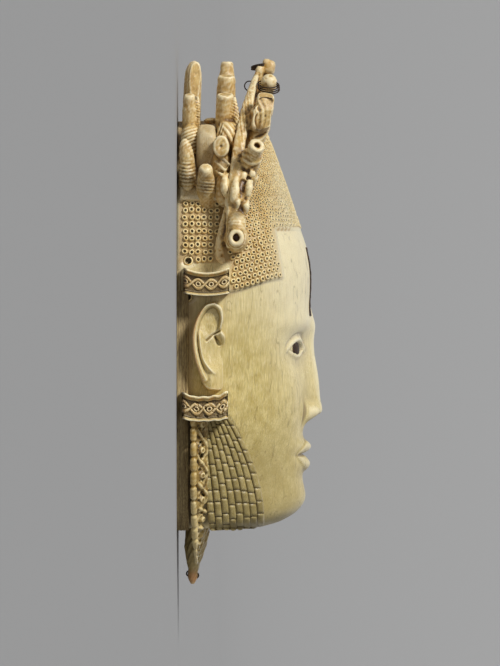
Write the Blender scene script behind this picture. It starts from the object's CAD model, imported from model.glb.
"""An ivory pendant mask lying on its flat back, seen in profile, as a Blender add-on run as a script.

Lengths in the making are millimetres, with heights taken up from the collar's tip. The frame turns them
into metres. X runs across the face, Y from the tip to the crest, Z out of the face.
"""
import math

import bmesh
import bpy
import numpy as np
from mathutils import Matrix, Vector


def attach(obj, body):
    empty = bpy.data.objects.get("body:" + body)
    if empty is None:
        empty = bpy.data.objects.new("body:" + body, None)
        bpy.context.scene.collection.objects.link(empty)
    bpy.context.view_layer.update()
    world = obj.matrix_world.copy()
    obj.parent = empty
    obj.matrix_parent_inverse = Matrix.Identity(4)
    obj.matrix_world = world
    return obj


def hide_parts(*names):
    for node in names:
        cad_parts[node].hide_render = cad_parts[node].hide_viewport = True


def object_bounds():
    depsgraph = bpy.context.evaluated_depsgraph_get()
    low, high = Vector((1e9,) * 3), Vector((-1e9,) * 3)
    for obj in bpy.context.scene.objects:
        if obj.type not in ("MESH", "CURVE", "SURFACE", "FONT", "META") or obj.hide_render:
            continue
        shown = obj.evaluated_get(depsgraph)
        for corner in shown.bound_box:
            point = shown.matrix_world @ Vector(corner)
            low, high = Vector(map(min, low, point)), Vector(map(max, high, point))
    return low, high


bl_info = {
    "name": "Ivory Pendant Mask",
    "version": (1, 0, 0),
    "blender": (4, 5, 0),
    "location": "View3D > Sidebar > Mask",
    "description": "Builds a carved ivory pendant mask with its curls, crest, beads and openwork collar",
    "category": "Add Mesh",
}

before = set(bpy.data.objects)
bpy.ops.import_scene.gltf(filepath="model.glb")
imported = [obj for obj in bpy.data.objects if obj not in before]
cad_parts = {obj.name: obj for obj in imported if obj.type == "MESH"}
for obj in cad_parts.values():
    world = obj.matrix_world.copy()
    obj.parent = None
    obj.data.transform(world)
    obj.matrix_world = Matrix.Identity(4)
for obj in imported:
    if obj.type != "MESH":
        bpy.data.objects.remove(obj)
CAD_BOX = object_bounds()
LOW, HIGH = CAD_BOX
MM = 0.001
HEIGHT = (HIGH.y - LOW.y) / MM

# Half width and depth of the head at stations up its height, as in the solid
HEAD = np.array([
    (26.5, 33, 38), (29, 36, 46), (34, 38.5, 52.5), (44, 42, 55.5), (60, 45.5, 56.5), (78, 48, 57),
    (100, 49.5, 58), (120, 50, 59.5), (140, 49.5, 60.4), (152, 48, 58.7), (160, 46.5, 56.2),
    (172, 43, 51.8), (188, 35.5, 46), (200, 25.5, 41.4), (206, 17, 38), (210, 7, 32),
])
SECTION_POWER = 0.86
HOLLOW_BOTTOM = 42
HOLLOW_TOP = 194
RIM_WIDTH = 9
WALL = 11

# The face by thirds from chin to hairline and by fifths across
CHIN = 30
HAIRLINE = 162
THIRD = (HAIRLINE - CHIN) / 3
EYE_WIDTH = 18
BROW = CHIN + 2 * THIRD
NOSE_BASE = CHIN + THIRD
MOUTH = NOSE_BASE - THIRD / 3
EYE_LINE = BROW - 11

# The cap's edge beside the face, and the leaning sheet behind the front row of the crest
CAP_EDGE = 132.5
CAP_RISE = 6.3
CAP_FRONT = (47.8, 43.7)
FAN_CENTRE = 157
SHEET_Z = 21.4
SHEET_LEAN = 0.162

# Heights of the top and the foot of the fringe of beads
FRINGE_TOP = 79
FRINGE_FOOT = 28

# Height and depth of the two holes for a cord on each side, and their half width
CORD_HOLES = ((146.6, 5.2), (130.4, 5.0))
CORD_HOLE = 1.35

# The flanges' long edges, their depths from the back, their reach to the side and their unevenness
FLANGES = {
    "upper": {
        "bottom": 132, "top": 143.6, "back": 3.2, "front": 23.6, "out": 61.8, "sag": 2.4,
    },
    "lower": {
        "bottom": 75.8, "top": 88, "back": 2.4, "front": 23.0, "out": 61.0, "sag": 2.0, "ragged": 0.5,
    },
}


def smooth(low, high, x):
    """0 up to low, 1 from high on, and t * t * (3 - 2 * t) between them."""
    t = np.clip((np.asarray(x, float) - low) / (high - low), 0, 1)
    return t * t * (3 - 2 * t)


def mix(a, b, t):
    """The value a share t of the way from a to b."""
    return a + (b - a) * t


def hump(x, centre, radius):
    """A bell: e to the power of minus the square of the distance in radii."""
    return np.exp(-(((x - centre) / radius) ** 2))


def signed_power(x, power):
    """A power of the size, with the sign kept."""
    return np.sign(x) * np.abs(x) ** power


def unit(v):
    """Vectors divided by their lengths."""
    v = np.asarray(v, float)
    return v / np.maximum(np.linalg.norm(v, axis=-1, keepdims=True), 1e-12)


def cubic(a, slope_a, b, slope_b, t):
    """The curve of third degree from a to b that has these slopes at its ends, a share t of the way."""
    return (
        a * (2 * t**3 - 3 * t**2 + 1) + slope_a * (t**3 - 2 * t**2 + t)
        + b * (3 * t**2 - 2 * t**3) + slope_b * (t**3 - t**2)
    )


def station(column, y):
    """The head's half width (1) or depth (2) at heights y: a cubic, with slopes from the neighbours."""
    heights = HEAD[:, 0]
    values = HEAD[:, column]
    last = len(heights) - 1
    y = np.clip(y, heights[0], heights[-1])
    i = np.clip(np.searchsorted(heights, y, side="left") - 1, 0, last - 1)
    before = np.maximum(i - 1, 0)
    after = np.minimum(i + 2, last)
    span = heights[i + 1] - heights[i]
    slope_a = (values[i + 1] - values[before]) / (heights[i + 1] - heights[before]) * span
    slope_b = (values[after] - values[i]) / (heights[after] - heights[i]) * span
    return cubic(values[i], slope_a, values[i + 1], slope_b, (y - heights[i]) / span)


def waves(points, size, seed, count=16):
    """Soft irregular field from -1 to 1: the mean of plane waves about a size in mm, in random ways."""
    rng = np.random.default_rng(seed)
    direction = unit(rng.normal(size=(count, 3)))
    length = size * rng.uniform(0.6, 1.7, count)
    phase = rng.uniform(0, 2 * math.pi, count)
    turns = np.asarray(points, float) @ (direction / length[:, None]).T * 2 * math.pi + phase
    return np.sin(turns).mean(-1) * 2.2


class Shape:
    """Points in mm with faces as arrays of three or four indices, and named values for each point."""

    def __init__(self, points, faces, **values):
        self.points = np.asarray(points, float).reshape(-1, 3)
        self.faces = faces
        self.values = values

    def volume(self):
        """A sixth of the sum of every face's triple product with the origin."""
        total = 0.0
        for f in self.faces:
            p = self.points[f]
            for k in range(1, f.shape[1] - 1):
                total += np.einsum("ij,ij->i", p[:, 0], np.cross(p[:, k], p[:, k + 1])).sum()
        return total / 6

    def outward(self):
        """The shape with its faces turned over if they point inwards."""
        if self.volume() < 0:
            self.faces = [f[:, ::-1] for f in self.faces]
        return self

    def mirrored(self):
        """The same shape on the other side of the face."""
        return Shape(self.points * (-1, 1, 1), [f[:, ::-1] for f in self.faces], **self.values)


def grid(points, loop=False, **values):
    """A surface through rows of points. Columns wrap round. Rows do too in a loop, or else the first and
    the last row end in a hub."""
    rows, cols = points.shape[:2]
    index = np.arange(rows * cols).reshape(rows, cols)
    index = np.concatenate([index, index[:, :1]], 1)
    if loop:
        index = np.concatenate([index, index[:1]], 0)
    quads = np.stack([index[:-1, :-1], index[:-1, 1:], index[1:, 1:], index[1:, :-1]], -1).reshape(-1, 4)
    flat = points.reshape(-1, 3)
    faces = [quads]
    named = {k: np.asarray(v, float).reshape(-1) for k, v in values.items()}
    if not loop:
        hubs = [points[0].mean(0), points[-1].mean(0)]
        base = len(flat)
        flat = np.concatenate([flat, hubs])
        first = index[0]
        last = index[-1]
        n = len(first) - 1
        faces.append(np.stack([first[1:], first[:-1], np.full(n, base)], -1))
        faces.append(np.stack([last[:-1], last[1:], np.full(n, base + 1)], -1))
        named = {k: np.concatenate([v, [v[0], v[-1]]]) for k, v in named.items()}
    return Shape(flat, faces, **named).outward()


def joined(shapes):
    """One shape from several, in order."""
    points = np.concatenate([s.points for s in shapes])
    faces = []
    start = 0
    for s in shapes:
        faces.extend(f + start for f in s.faces)
        start += len(s.points)
    keys = set(shapes[0].values)
    named = {k: np.concatenate([s.values[k] for s in shapes]) for k in sorted(keys)}
    return Shape(points, faces, **named)


def both_sides(shapes):
    """Shapes with their mirror images."""
    return [*shapes, *[s.mirrored() for s in shapes]]


def right_and_left(shape):
    """A piece of the mask's right side and its mirror image, with the names of their sides."""
    return ("right", shape), ("left", shape.mirrored())


def basis(direction, up=(0, 0, 1)):
    """Three unit vectors: two across a direction, and the direction."""
    d = unit(direction)
    side = np.cross(up, d)
    if np.linalg.norm(side) < 1e-6:
        side = np.cross((0, 1, 0), d)
    side = unit(side)
    return side, np.cross(d, side), d


def turned(root, end, profile, segments=28, squash=1.0):
    """A profile of (part of the length, radius) turned about the line from root to end.

    Squash narrows the section one way."""
    root = np.asarray(root, float)
    end = np.asarray(end, float)
    a, b, d = basis(end - root)
    parts = np.array([p for p, _ in profile])
    radii = np.array([r for _, r in profile])
    length = np.linalg.norm(end - root)
    angle = np.linspace(0, 2 * math.pi, segments, endpoint=False)
    centre = root + parts[:, None] * length * d
    ring = np.cos(angle)[None, :, None] * a + np.sin(angle)[None, :, None] * b * squash
    return grid(centre[:, None, :] + radii[:, None, None] * ring)


def ball(centre, radii, axis=(0, 1, 0), power=1.0, rows=16, cols=24):
    """An ellipsoid, or with a power under 1 a block with rounded edges.

    Its half sizes run across, out of the face and along the axis."""
    a, b, d = basis(axis)
    lat = np.linspace(0.02, math.pi - 0.02, rows)[:, None]
    lon = np.linspace(0, 2 * math.pi, cols, endpoint=False)[None, :]
    ring = np.sin(lat) ** power
    x = ring * signed_power(np.cos(lon), power) * radii[0]
    y = ring * signed_power(np.sin(lon), power) * radii[1]
    z = signed_power(np.cos(lat), power) * np.ones_like(lon) * radii[2]
    return grid(np.asarray(centre, float) + x[..., None] * a + y[..., None] * b + z[..., None] * d)


def tube(path, radius, segments=12, loop=False):
    """A round section carried along a path, kept level by one up direction at each step."""
    path = np.asarray(path, float)
    n = len(path)
    radius = np.broadcast_to(np.asarray(radius, float), (n,))
    if loop:
        along = unit(np.roll(path, -1, 0) - np.roll(path, 1, 0))
    else:
        along = unit(np.gradient(path, axis=0))
    side = np.cross(along, (0.13, 0.21, 0.97))
    side = unit(side)
    other = np.cross(along, side)
    angle = np.linspace(0, 2 * math.pi, segments, endpoint=False)
    ring = np.cos(angle)[None, :, None] * side[:, None] + np.sin(angle)[None, :, None] * other[:, None]
    return grid(path[:, None] + radius[:, None, None] * ring, loop=loop)


def curve(points, count):
    """A smooth path through points: a cubic with slopes from the neighbours, even in its parameter."""
    points = np.asarray(points, float)
    n = len(points)
    t = np.linspace(0, n - 1, count)
    i = np.clip(t.astype(int), 0, n - 2)
    f = (t - i)[:, None]
    a = points[i]
    b = points[i + 1]
    slope_a = (b - points[np.maximum(i - 1, 0)]) / 2
    slope_b = (points[np.minimum(i + 2, n - 1)] - a) / 2
    return cubic(a, slope_a, b, slope_b, f)


def even(path):
    """The same path with its points evenly spaced along it."""
    step = np.linalg.norm(np.diff(path, axis=0), axis=1)
    along = np.concatenate([[0], np.cumsum(step)])
    want = np.linspace(0, along[-1], len(path))
    return np.stack([np.interp(want, along, path[:, k]) for k in range(3)], -1)


def mesh_object(name, shape):
    """A mesh object in metres in the frame, with the shape's values as point attributes."""
    points = shape.points * MM
    points[:, 1] += LOW.y
    loops = np.concatenate([f.ravel() for f in shape.faces])
    sizes = np.concatenate([np.full(len(f), f.shape[1]) for f in shape.faces])
    starts = np.concatenate([[0], np.cumsum(sizes)[:-1]])
    mesh = bpy.data.meshes.new(name)
    mesh.vertices.add(len(points))
    mesh.vertices.foreach_set("co", points.astype(np.float32).ravel())
    mesh.loops.add(len(loops))
    mesh.loops.foreach_set("vertex_index", loops.astype(np.int32))
    mesh.polygons.add(len(sizes))
    mesh.polygons.foreach_set("loop_start", starts.astype(np.int32))
    mesh.polygons.foreach_set("use_smooth", np.ones(len(sizes), bool))
    mesh.update(calc_edges=True)
    for key, value in shape.values.items():
        write_value(mesh, key, value)
    obj = bpy.data.objects.new(name, mesh)
    bpy.context.scene.collection.objects.link(obj)
    return obj


def write_value(mesh, key, value):
    """Stores one number for each point of a mesh, under a name."""
    attribute = mesh.attributes.get(key) or mesh.attributes.new(key, "FLOAT", "POINT")
    attribute.data.foreach_set("value", np.asarray(value, np.float32))


def read_points(mesh):
    """The points of a mesh, in metres."""
    co = np.empty(len(mesh.vertices) * 3, np.float32)
    mesh.vertices.foreach_get("co", co)
    return co.reshape(-1, 3).astype(float)


def write_points(mesh, co):
    """Moves the points of a mesh, in metres."""
    mesh.vertices.foreach_set("co", co.astype(np.float32).ravel())
    mesh.update()


def read_edges(mesh):
    """The numbers of the two points of each edge."""
    edges = np.empty(len(mesh.edges) * 2, np.int32)
    mesh.edges.foreach_get("vertices", edges)
    return edges.reshape(-1, 2)


def read_normals(mesh):
    """The outward direction at each point."""
    normal = np.empty(len(mesh.vertices) * 3, np.float32)
    mesh.vertex_normals.foreach_get("vector", normal)
    return normal.reshape(-1, 3).astype(float)


def relaxed(co, edges, steps):
    """Points moved to the mean of their neighbours, a number of times."""
    n = len(co)
    a, b = edges[:, 0], edges[:, 1]
    count = np.maximum(np.bincount(a, minlength=n) + np.bincount(b, minlength=n), 1)
    out = co.copy()
    for _ in range(steps):
        total = np.stack([
            np.bincount(a, out[b, k], n) + np.bincount(b, out[a, k], n) for k in range(3)
        ], -1)
        out = total / count[:, None]
    return out


def shade_recesses(obj, fine, broad):
    """Stores how far each point lies below the surface round it, in mm, at two scales."""
    mesh = obj.data
    co = read_points(mesh)
    normal = read_normals(mesh)
    edges = read_edges(mesh)
    near = relaxed(co, edges, fine)
    far = relaxed(near, edges, broad)
    write_value(mesh, "recess", ((near - co) * normal).sum(1) / MM)
    write_value(mesh, "hollow", ((far - co) * normal).sum(1) / MM)


def stain_spots(obj, key, spots):
    """Stores how strongly each point is stained: the most of several soft spots seen from the side."""
    where = read_points(obj.data)
    y = (where[:, 1] - LOW.y) / MM
    z = where[:, 2] / MM
    shown = [
        strength * np.exp(-((y - spot_y) ** 2 + (z - spot_z) ** 2) / reach**2)
        for spot_y, spot_z, reach, strength in spots
    ]
    write_value(obj.data, key, np.max(shown, axis=0))


def cut_grooves(co, normal, grooves):
    """Points in mm pushed in by parallel furrows, each set inside a soft ellipsoid.

    A furrow's depth is a raised cosine of the distance across the set, bent by the square of the
    distance along it."""
    for centre, radii, across, pitch, depth, bend in grooves:
        offset = co - centre
        inside = np.exp(-(((offset / radii) ** 2).sum(1) ** 2))
        across = unit(across)
        along = np.cross(across, (1, 0, 0))
        phase = (offset @ across + bend * (offset @ along) ** 2) / pitch
        furrow = (0.5 - 0.5 * np.cos(2 * math.pi * phase)) ** 1.5
        co = co - normal * (depth * inside * furrow)[:, None]
    return co


def cut_facets(co, facets):
    """Points in mm near a chisel's cut, pressed onto its plane where they stand in front of it."""
    for centre, reach, facing, depth in facets:
        d = unit(facing)
        offset = co - centre
        above = np.maximum(offset @ d + depth, 0)
        inside = smooth(reach * 1.25, reach, np.linalg.norm(offset, axis=1))
        co = co - d * (above * inside)[:, None]
    return co


def without_crumbs(mesh, edges, least=400):
    """Takes out islands of the mesh that have too few points, such as ends of rods thinner than a cell.

    Each point takes the lowest number met along its edges until nothing changes, which labels islands."""
    label = np.arange(len(mesh.vertices))
    while True:
        low = np.minimum(label[edges[:, 0]], label[edges[:, 1]])
        spread = label.copy()
        np.minimum.at(spread, edges[:, 0], low)
        np.minimum.at(spread, edges[:, 1], low)
        spread = spread[spread]
        if np.array_equal(spread, label):
            break
        label = spread
    crumbs = np.flatnonzero(np.bincount(label, minlength=len(label))[label] < least)
    if len(crumbs):
        skin = bmesh.new()
        skin.from_mesh(mesh)
        skin.verts.ensure_lookup_table()
        bmesh.ops.delete(skin, geom=[skin.verts[i] for i in crumbs], context="VERTS")
        skin.to_mesh(mesh)
        skin.free()


def carve_as_one(name, shapes, cell, wear, seed, grooves=(), facets=()):
    """Fuses overlapping shapes into one skin, as if cut from one block, then softens, cuts and wears it.

    Grooves and facets are given for the near side and cut on both sides."""
    rough = mesh_object(name + "_rough", joined(shapes))
    modifier = rough.modifiers.new("Remesh", "REMESH")
    modifier.mode = "VOXEL"
    modifier.voxel_size = cell * MM
    depsgraph = bpy.context.evaluated_depsgraph_get()
    mesh = bpy.data.meshes.new_from_object(rough.evaluated_get(depsgraph))
    bpy.data.objects.remove(rough)
    mesh.name = name
    without_crumbs(mesh, read_edges(mesh))
    obj = bpy.data.objects.new(name, mesh)
    bpy.context.scene.collection.objects.link(obj)
    edges = read_edges(mesh)
    co = read_points(mesh)
    co = mix(co, relaxed(co, edges, 1), 0.85)
    write_points(mesh, co)
    where = (co - (0, LOW.y, 0)) / MM
    normal = read_normals(mesh)
    for side in (1, -1):
        mirror = np.array((side, 1, 1))
        faceted = cut_facets(where * mirror, facets)
        where = cut_grooves(faceted, normal * mirror, grooves) * mirror
    rubbed = np.clip(np.abs(waves(where, 7.0, seed)) - 0.25, 0, 1)
    nicks = np.clip(waves(where, 2.6, seed + 1) - 0.55, 0, 1) + 0.22 * waves(where, 1.5, seed + 2)
    where = where - normal * ((0.9 * rubbed + nicks) * wear)[:, None]
    write_points(mesh, where * MM + (0, LOW.y, 0))
    mesh.polygons.foreach_set("use_smooth", np.ones(len(mesh.polygons), bool))
    return obj


def place(obj, slot, finish, *nodes):
    """Gives a piece its body, finish and the solid nodes that it stands for."""
    obj.data.materials.clear()
    obj.data.materials.append(finish)
    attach(obj, "root")
    if nodes:
        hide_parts(*nodes)


# Head and face


def face_relief(x, y):
    """Broad forms of the face, as in the solid: sums of humps placed by thirds and fifths."""
    side = np.abs(x)
    bridge = smooth(NOSE_BASE - 1, NOSE_BASE + 5, y)
    taper = 1 - smooth(NOSE_BASE + 6, BROW + 6, y)
    ridge = (0.35 + 0.65 * taper) * 7.5 * bridge * np.exp(-((side / (5.2 + 2 * taper)) ** 2))
    ridge *= 1 - smooth(BROW - 2, BROW + 12, y)
    wing = 3.6 * hump(side, 8.2, 4.2) * hump(y, NOSE_BASE + 4, 5)
    brow = 1.6 * hump(side, 17, 15) * hump(y, BROW, 5)
    socket = -5.6 * hump(side, EYE_WIDTH, 12.5) * hump(y, EYE_LINE, 8.5)
    eyeball = 4.4 * hump(side, EYE_WIDTH, 8.2) * hump(y, EYE_LINE - 0.5, 5.2)
    cheek = 1.2 * hump(side, 26, 12) * hump(y, NOSE_BASE + 10, 14)
    upper_lip = 3.2 * hump(side, 0, 13) * hump(y, MOUTH + 3.6, 3.1)
    lower_lip = 3.0 * hump(side, 0, 11.5) * hump(y, MOUTH - 4.2, 3.4)
    parting = -1.0 * hump(side, 0, 14) * hump(y, MOUTH, 1.6)
    chin = 3.2 * hump(side, 0, 13) * hump(y, CHIN + 9, 7.5)
    jaw = -7.5 * hump(side, 34, 13) * hump(y, CHIN + 12, 20)
    return ridge + wing + brow + socket + eyeball + cheek + upper_lip + lower_lip + parting + chin + jaw


def face_cuts(x, y):
    """Crisp cuts of the face: lids, nose, nostrils, the borders of the lips and their parting.

    The lids are two arcs over an almond; each is a raised band along its arc."""
    side = np.abs(x)
    u = np.abs((side - EYE_WIDTH) / (EYE_WIDTH / 2))
    v = y - EYE_LINE
    over = v - 3.4 * (1 - u**2.1)
    under = -2.6 * (1 - u**1.8) - v
    ends = smooth(1.32, 1.05, u)
    upper_lid = 1.1 * smooth(-0.1, 0.4, over) * smooth(2.8, 1.0, over) * ends
    lower_lid = 0.6 * smooth(-0.1, 0.3, under) * smooth(1.8, 0.5, under) * ends
    lids = np.maximum(np.where(over > 0, upper_lid, 0), np.where(under > 0, lower_lid, 0))
    ball_drop = -0.9 * smooth(0.1, -0.5, np.maximum(over, under))
    crease = -0.9 * hump(over, 3.7, 0.6) * ends
    tip = 1.0 * hump(side, 0, 4.4) * hump(y, NOSE_BASE + 5.6, 3.6)
    wings = 1.3 * hump(side, 8.2, 3.0) * hump(y, NOSE_BASE + 4, 3.4)
    nostril = -2.2 * hump(side, 4.8, 1.7) * hump(y, NOSE_BASE + 0.2, 1.4)
    wing_cut = -1.1 * hump(side, 12.2, 1.1) * hump(y, NOSE_BASE + 4, 4.0)
    width = np.clip(side / 16, 0, 1.4)
    above = 6.6 * (1 - width**2) - 1.1 * hump(side, 0, 2.4)
    below = 7.2 * (1 - width**2.2)
    lips = np.minimum(above - (y - MOUTH), (y - MOUTH) + below)
    border = 0.7 * smooth(-0.5, 0.5, lips)
    parting = -1.4 * hump(y, MOUTH + 0.25 * np.cos(side / 4), 0.6) * smooth(17, 13, side)
    philtrum = -0.7 * hump(side, 0, 2.0) * hump(y, (NOSE_BASE + MOUTH + 6) / 2, 3.2)
    return lids + ball_drop + crease + tip + wings + nostril + wing_cut + border + parting + philtrum


def cap_inside(y, z):
    """How far a place is inside the cap of hair, in mm: above the hairline, or behind the cap's slanting
    front edge and above its lower edge, which rises from the ear to the temple."""
    lower = CAP_EDGE + CAP_RISE * smooth(20, 48, z)
    front = CAP_FRONT[0] + (CAP_FRONT[1] - CAP_FRONT[0]) * (y - 138.7) / (HAIRLINE - 138.7)
    return np.maximum(y - (HAIRLINE - 0.8), np.minimum(y - lower, front - z))


def head_points(angle, y, bored=0, cut=1):
    """The carved head: a squared half ellipse at each height, with the face and the cap laid on it.

    It is bored for the cord or not, and it has its cap and the face's crisp cuts or not."""
    across = signed_power(np.sin(angle), SECTION_POWER)
    forward = np.maximum(np.cos(angle), 0) ** SECTION_POWER
    depth = station(2, y)
    plain = depth * forward
    more = 0.9 * cut * smooth(-0.4, 0.5, cap_inside(y, plain)) * mix(1, 0.25, smooth(48, 56, plain))
    x = (station(1, y) + more) * across
    z = (depth + more) * forward
    on_face = smooth(14, 34, z)
    relief = face_relief(x, y) + cut * face_cuts(x, y)
    for hole_y, hole_z in CORD_HOLES:
        x = x * (1 - 0.09 * bored * smooth(2.0, 1.5, np.hypot(y - hole_y, z - hole_z)))
    return np.stack(np.broadcast_arrays(x, y, z + relief * on_face), -1)


def head_side(z, y):
    """How far out the side of the head is at a depth and height."""
    cosine = np.minimum(z / station(2, y), 0.999) ** (1 / SECTION_POWER)
    return station(1, y) * np.sqrt(1 - cosine * cosine) ** SECTION_POWER


def head_shape():
    """Rings up the head, each round the outside and back along the hollow, with rounded closing rings."""
    rows, outer, inner = 250, 216, 26
    y = np.linspace(HEAD[0, 0], HEAD[-1, 0], rows)[:, None]
    angle = np.linspace(-math.pi / 2, math.pi / 2, outer)[None, :]
    outside = head_points(angle, y, bored=1)
    along = np.clip((y - (HOLLOW_BOTTOM + HOLLOW_TOP) / 2) / ((HOLLOW_TOP - HOLLOW_BOTTOM) / 2), -1, 1)
    openness = np.sqrt(1 - along**2) ** 0.7
    back = np.linspace(math.pi / 2, -math.pi / 2, inner)[None, :]
    width = (station(1, y) - RIM_WIDTH) * np.maximum(openness, 0.3)
    depth = (station(2, y) - WALL) * openness
    z_in = depth * np.cos(back)
    gouge = 0.35 * waves(np.stack(np.broadcast_arrays(width * np.sin(back), y * 0.5, z_in), -1), 9, 5)
    z_in = np.maximum(z_in + gouge * smooth(2, 8, z_in), 0.2)
    inside = np.stack(np.broadcast_arrays(width * np.sin(back), y, z_in), -1)
    rings = np.concatenate([outside, inside], 1)

    # Where the finish changes: under the curls, in dirt and stains, and from a cream brow to an olive jaw
    z = station(2, y) * np.cos(angle) ** SECTION_POWER
    cap = smooth(-0.3, 0.6, cap_inside(y, z)) * mix(1, 0.45, smooth(32, 50, z)) * smooth(0.8, 1.6, z)
    cap = cap * np.maximum(smooth(144.6, 146.6, y), smooth(22, 25, z))
    dim = smooth(9.5, 5.5, z) * smooth(30, 36, y) * smooth(133, 129, y)
    dim = np.maximum(dim, 0.9 * np.exp(-(((y - 131.2) / 1.3) ** 2)) * smooth(27, 22, z))
    dim = np.maximum(dim, 0.8 * smooth(2.8, 1.6, z) * smooth(126, 130, y) * smooth(150, 146, y))
    dim = np.maximum(dim, smooth(171, 178, y) * smooth(28, 24, z))
    dim = np.maximum(dim, hump(z, 22.6, 2.0) * hump(y, 151, 4.0))
    soot = smooth(15.6, 13.4, z) * smooth(80, 76, y) * smooth(26, 30, y)
    soot = np.maximum(soot, 0.8 * smooth(1.3, 0.3, z) * smooth(146, 150, y) * (z > -1))
    beside = z - fringe_front(np.clip((FRINGE_TOP - y) / (FRINGE_TOP - FRINGE_FOOT), 0, 1)) - 0.5
    soot = np.maximum(soot, 0.8 * np.exp(-((beside / 0.7) ** 2)) * smooth(80, 77, y) * smooth(28, 31, y))
    olive = smooth(84, 40, y) * smooth(20, 34, z) * mix(1, 0.7, smooth(40, 56, z))
    marks = np.abs(np.sin(z * 1.9)) * hump(y, HAIRLINE - 1.1, 0.9) * smooth(43, 45, z) * smooth(52, 50, z)
    front = 0.7 * smooth(30, 56, z) * mix(0.35, 1, smooth(60, 125, y))
    cream = np.clip(0.6 * smooth(92, 150, y) + front - 0.08, 0, 1)
    masks = {
        "hair": cap, "dirt": dim, "stain": marks, "cream": cream, "soot": soot, "olive": olive, "cave": 0,
    }

    # Rings that close the head's two ends
    caps = []
    shrink = np.array([0.93, 0.8, 0.6, 0.35, 0.12])[:, None, None]
    for ring, step in ((rings[0], -1), (rings[-1], 1)):
        centre = ring.mean(0)
        part = centre + (ring - centre) * shrink
        part[..., 1] += step * 0.5 * (1 - shrink[..., 0] ** 2)
        caps.append(part)
    points = np.concatenate([caps[0][::-1], rings, caps[1]])
    named = {}
    closing = (len(shrink), len(shrink))
    for key, value in masks.items():
        outer_part = np.zeros((rows, outer)) + value
        inner_part = np.full((rows, inner), float(key == "cave"))
        named[key] = np.pad(np.concatenate([outer_part, inner_part], 1), (closing, (0, 0)))
    return grid(points, **named)


# Curls


def on_head(angle, y):
    """Points of the head and its outward directions, from two small steps along the surface."""
    here = head_points(angle, y)
    right = head_points(angle + 0.01, y) - here
    up = head_points(angle, y + 0.4) - here
    normal = unit(np.cross(right, up))
    outward = (normal * (here * (1, 0, 1))).sum(1, keepdims=True)
    return here, np.where(outward < 0, -normal, normal)


def angle_at_depth(y, z):
    """The angle round the head's section that lies at a depth."""
    return np.arccos(np.clip(z / station(2, y), 0, 0.9999) ** (1 / SECTION_POWER))


def curl_places(pitch, seed=3):
    """Places for the drilled curls: a square lattice behind, rows that step up round the head in front.

    Returns centres, outward directions and the pitch at each, leaving out what the crest covers."""
    rng = np.random.default_rng(seed)
    places = []
    z, y = np.meshgrid(3.9 + 0.97 * pitch * np.arange(6), 147.4 + 1.09 * pitch * np.arange(11))
    z = z.ravel() + rng.normal(0, 0.18, z.size)
    y = y.ravel() + rng.normal(0, 0.16, y.size)
    ridge = 17.4 + 3.6 * smooth(150, 162, y)
    free = (z < ridge - 2.0) & ((z > 9) | (y < 179)) & (y < 180)
    free &= np.hypot(z - CORD_HOLES[0][1], y - CORD_HOLES[0][0]) > 2.3
    here, normal = on_head(angle_at_depth(y[free], z[free]), y[free])
    places += [(*p, *n, pitch * 1.02) for p, n in zip(here, normal)]
    level = CAP_EDGE + 1.7
    row = 0
    angle = np.linspace(0, math.pi / 2, 500)
    while level < 206:
        near_top = smooth(146, 178, level)
        step = pitch * mix(0.93, 0.52, near_top)
        tilt_fade = mix(1.0, 0.35, smooth(140, 190, level))
        z0 = station(2, level) * np.cos(angle) ** SECTION_POWER
        y = level + CAP_RISE * smooth(20, 48, z0) * tilt_fade
        line = head_points(angle, np.minimum(y, 209.5))
        local = step * mix(mix(1.0, 1.14, near_top), 0.86, smooth(36, 50, z0))
        pace = np.linalg.norm(np.diff(line, axis=0), axis=1) / (0.5 * (local[1:] + local[:-1]))
        along = np.concatenate([[0], np.cumsum(pace)])
        at = np.interp(np.arange((row % 2) / 2, along[-1], 1.0), along, angle)
        loose = 1 + 1.4 * near_top * np.interp(at, angle, smooth(32, 46, z0))
        jitter = rng.normal(0, mix(0.05, 0.13, near_top) * step, (2, len(at))) * loose
        at = at + jitter[0] / 55
        height = np.minimum(np.interp(at, angle, y) + jitter[1], 209.0)
        here, normal = on_head(at, height)
        z = here[:, 2]
        size = np.interp(at, angle, local)
        free = cap_inside(height, z) > 0.45 * size
        sheet = SHEET_Z + SHEET_LEAN * (height - FAN_CENTRE)
        free &= ~((z < sheet + 3.4) & (height > 150))
        free &= ~((z < 23.8) & (height < 151) & (height > 145)) & ~((z < 24.4) & (height < 147))
        free &= (z > 3.2) & (height < 207)
        places += [(*p, *n, r) for p, n, r in zip(here[free], normal[free], size[free])]
        level += step * mix(1.02, 0.98, near_top)
        row += 1
    places = np.array(places)
    far = places[places[:, 0] > 0.5] * (-1, 1, 1, -1, 1, 1, 1)
    return np.concatenate([places, far])


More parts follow.
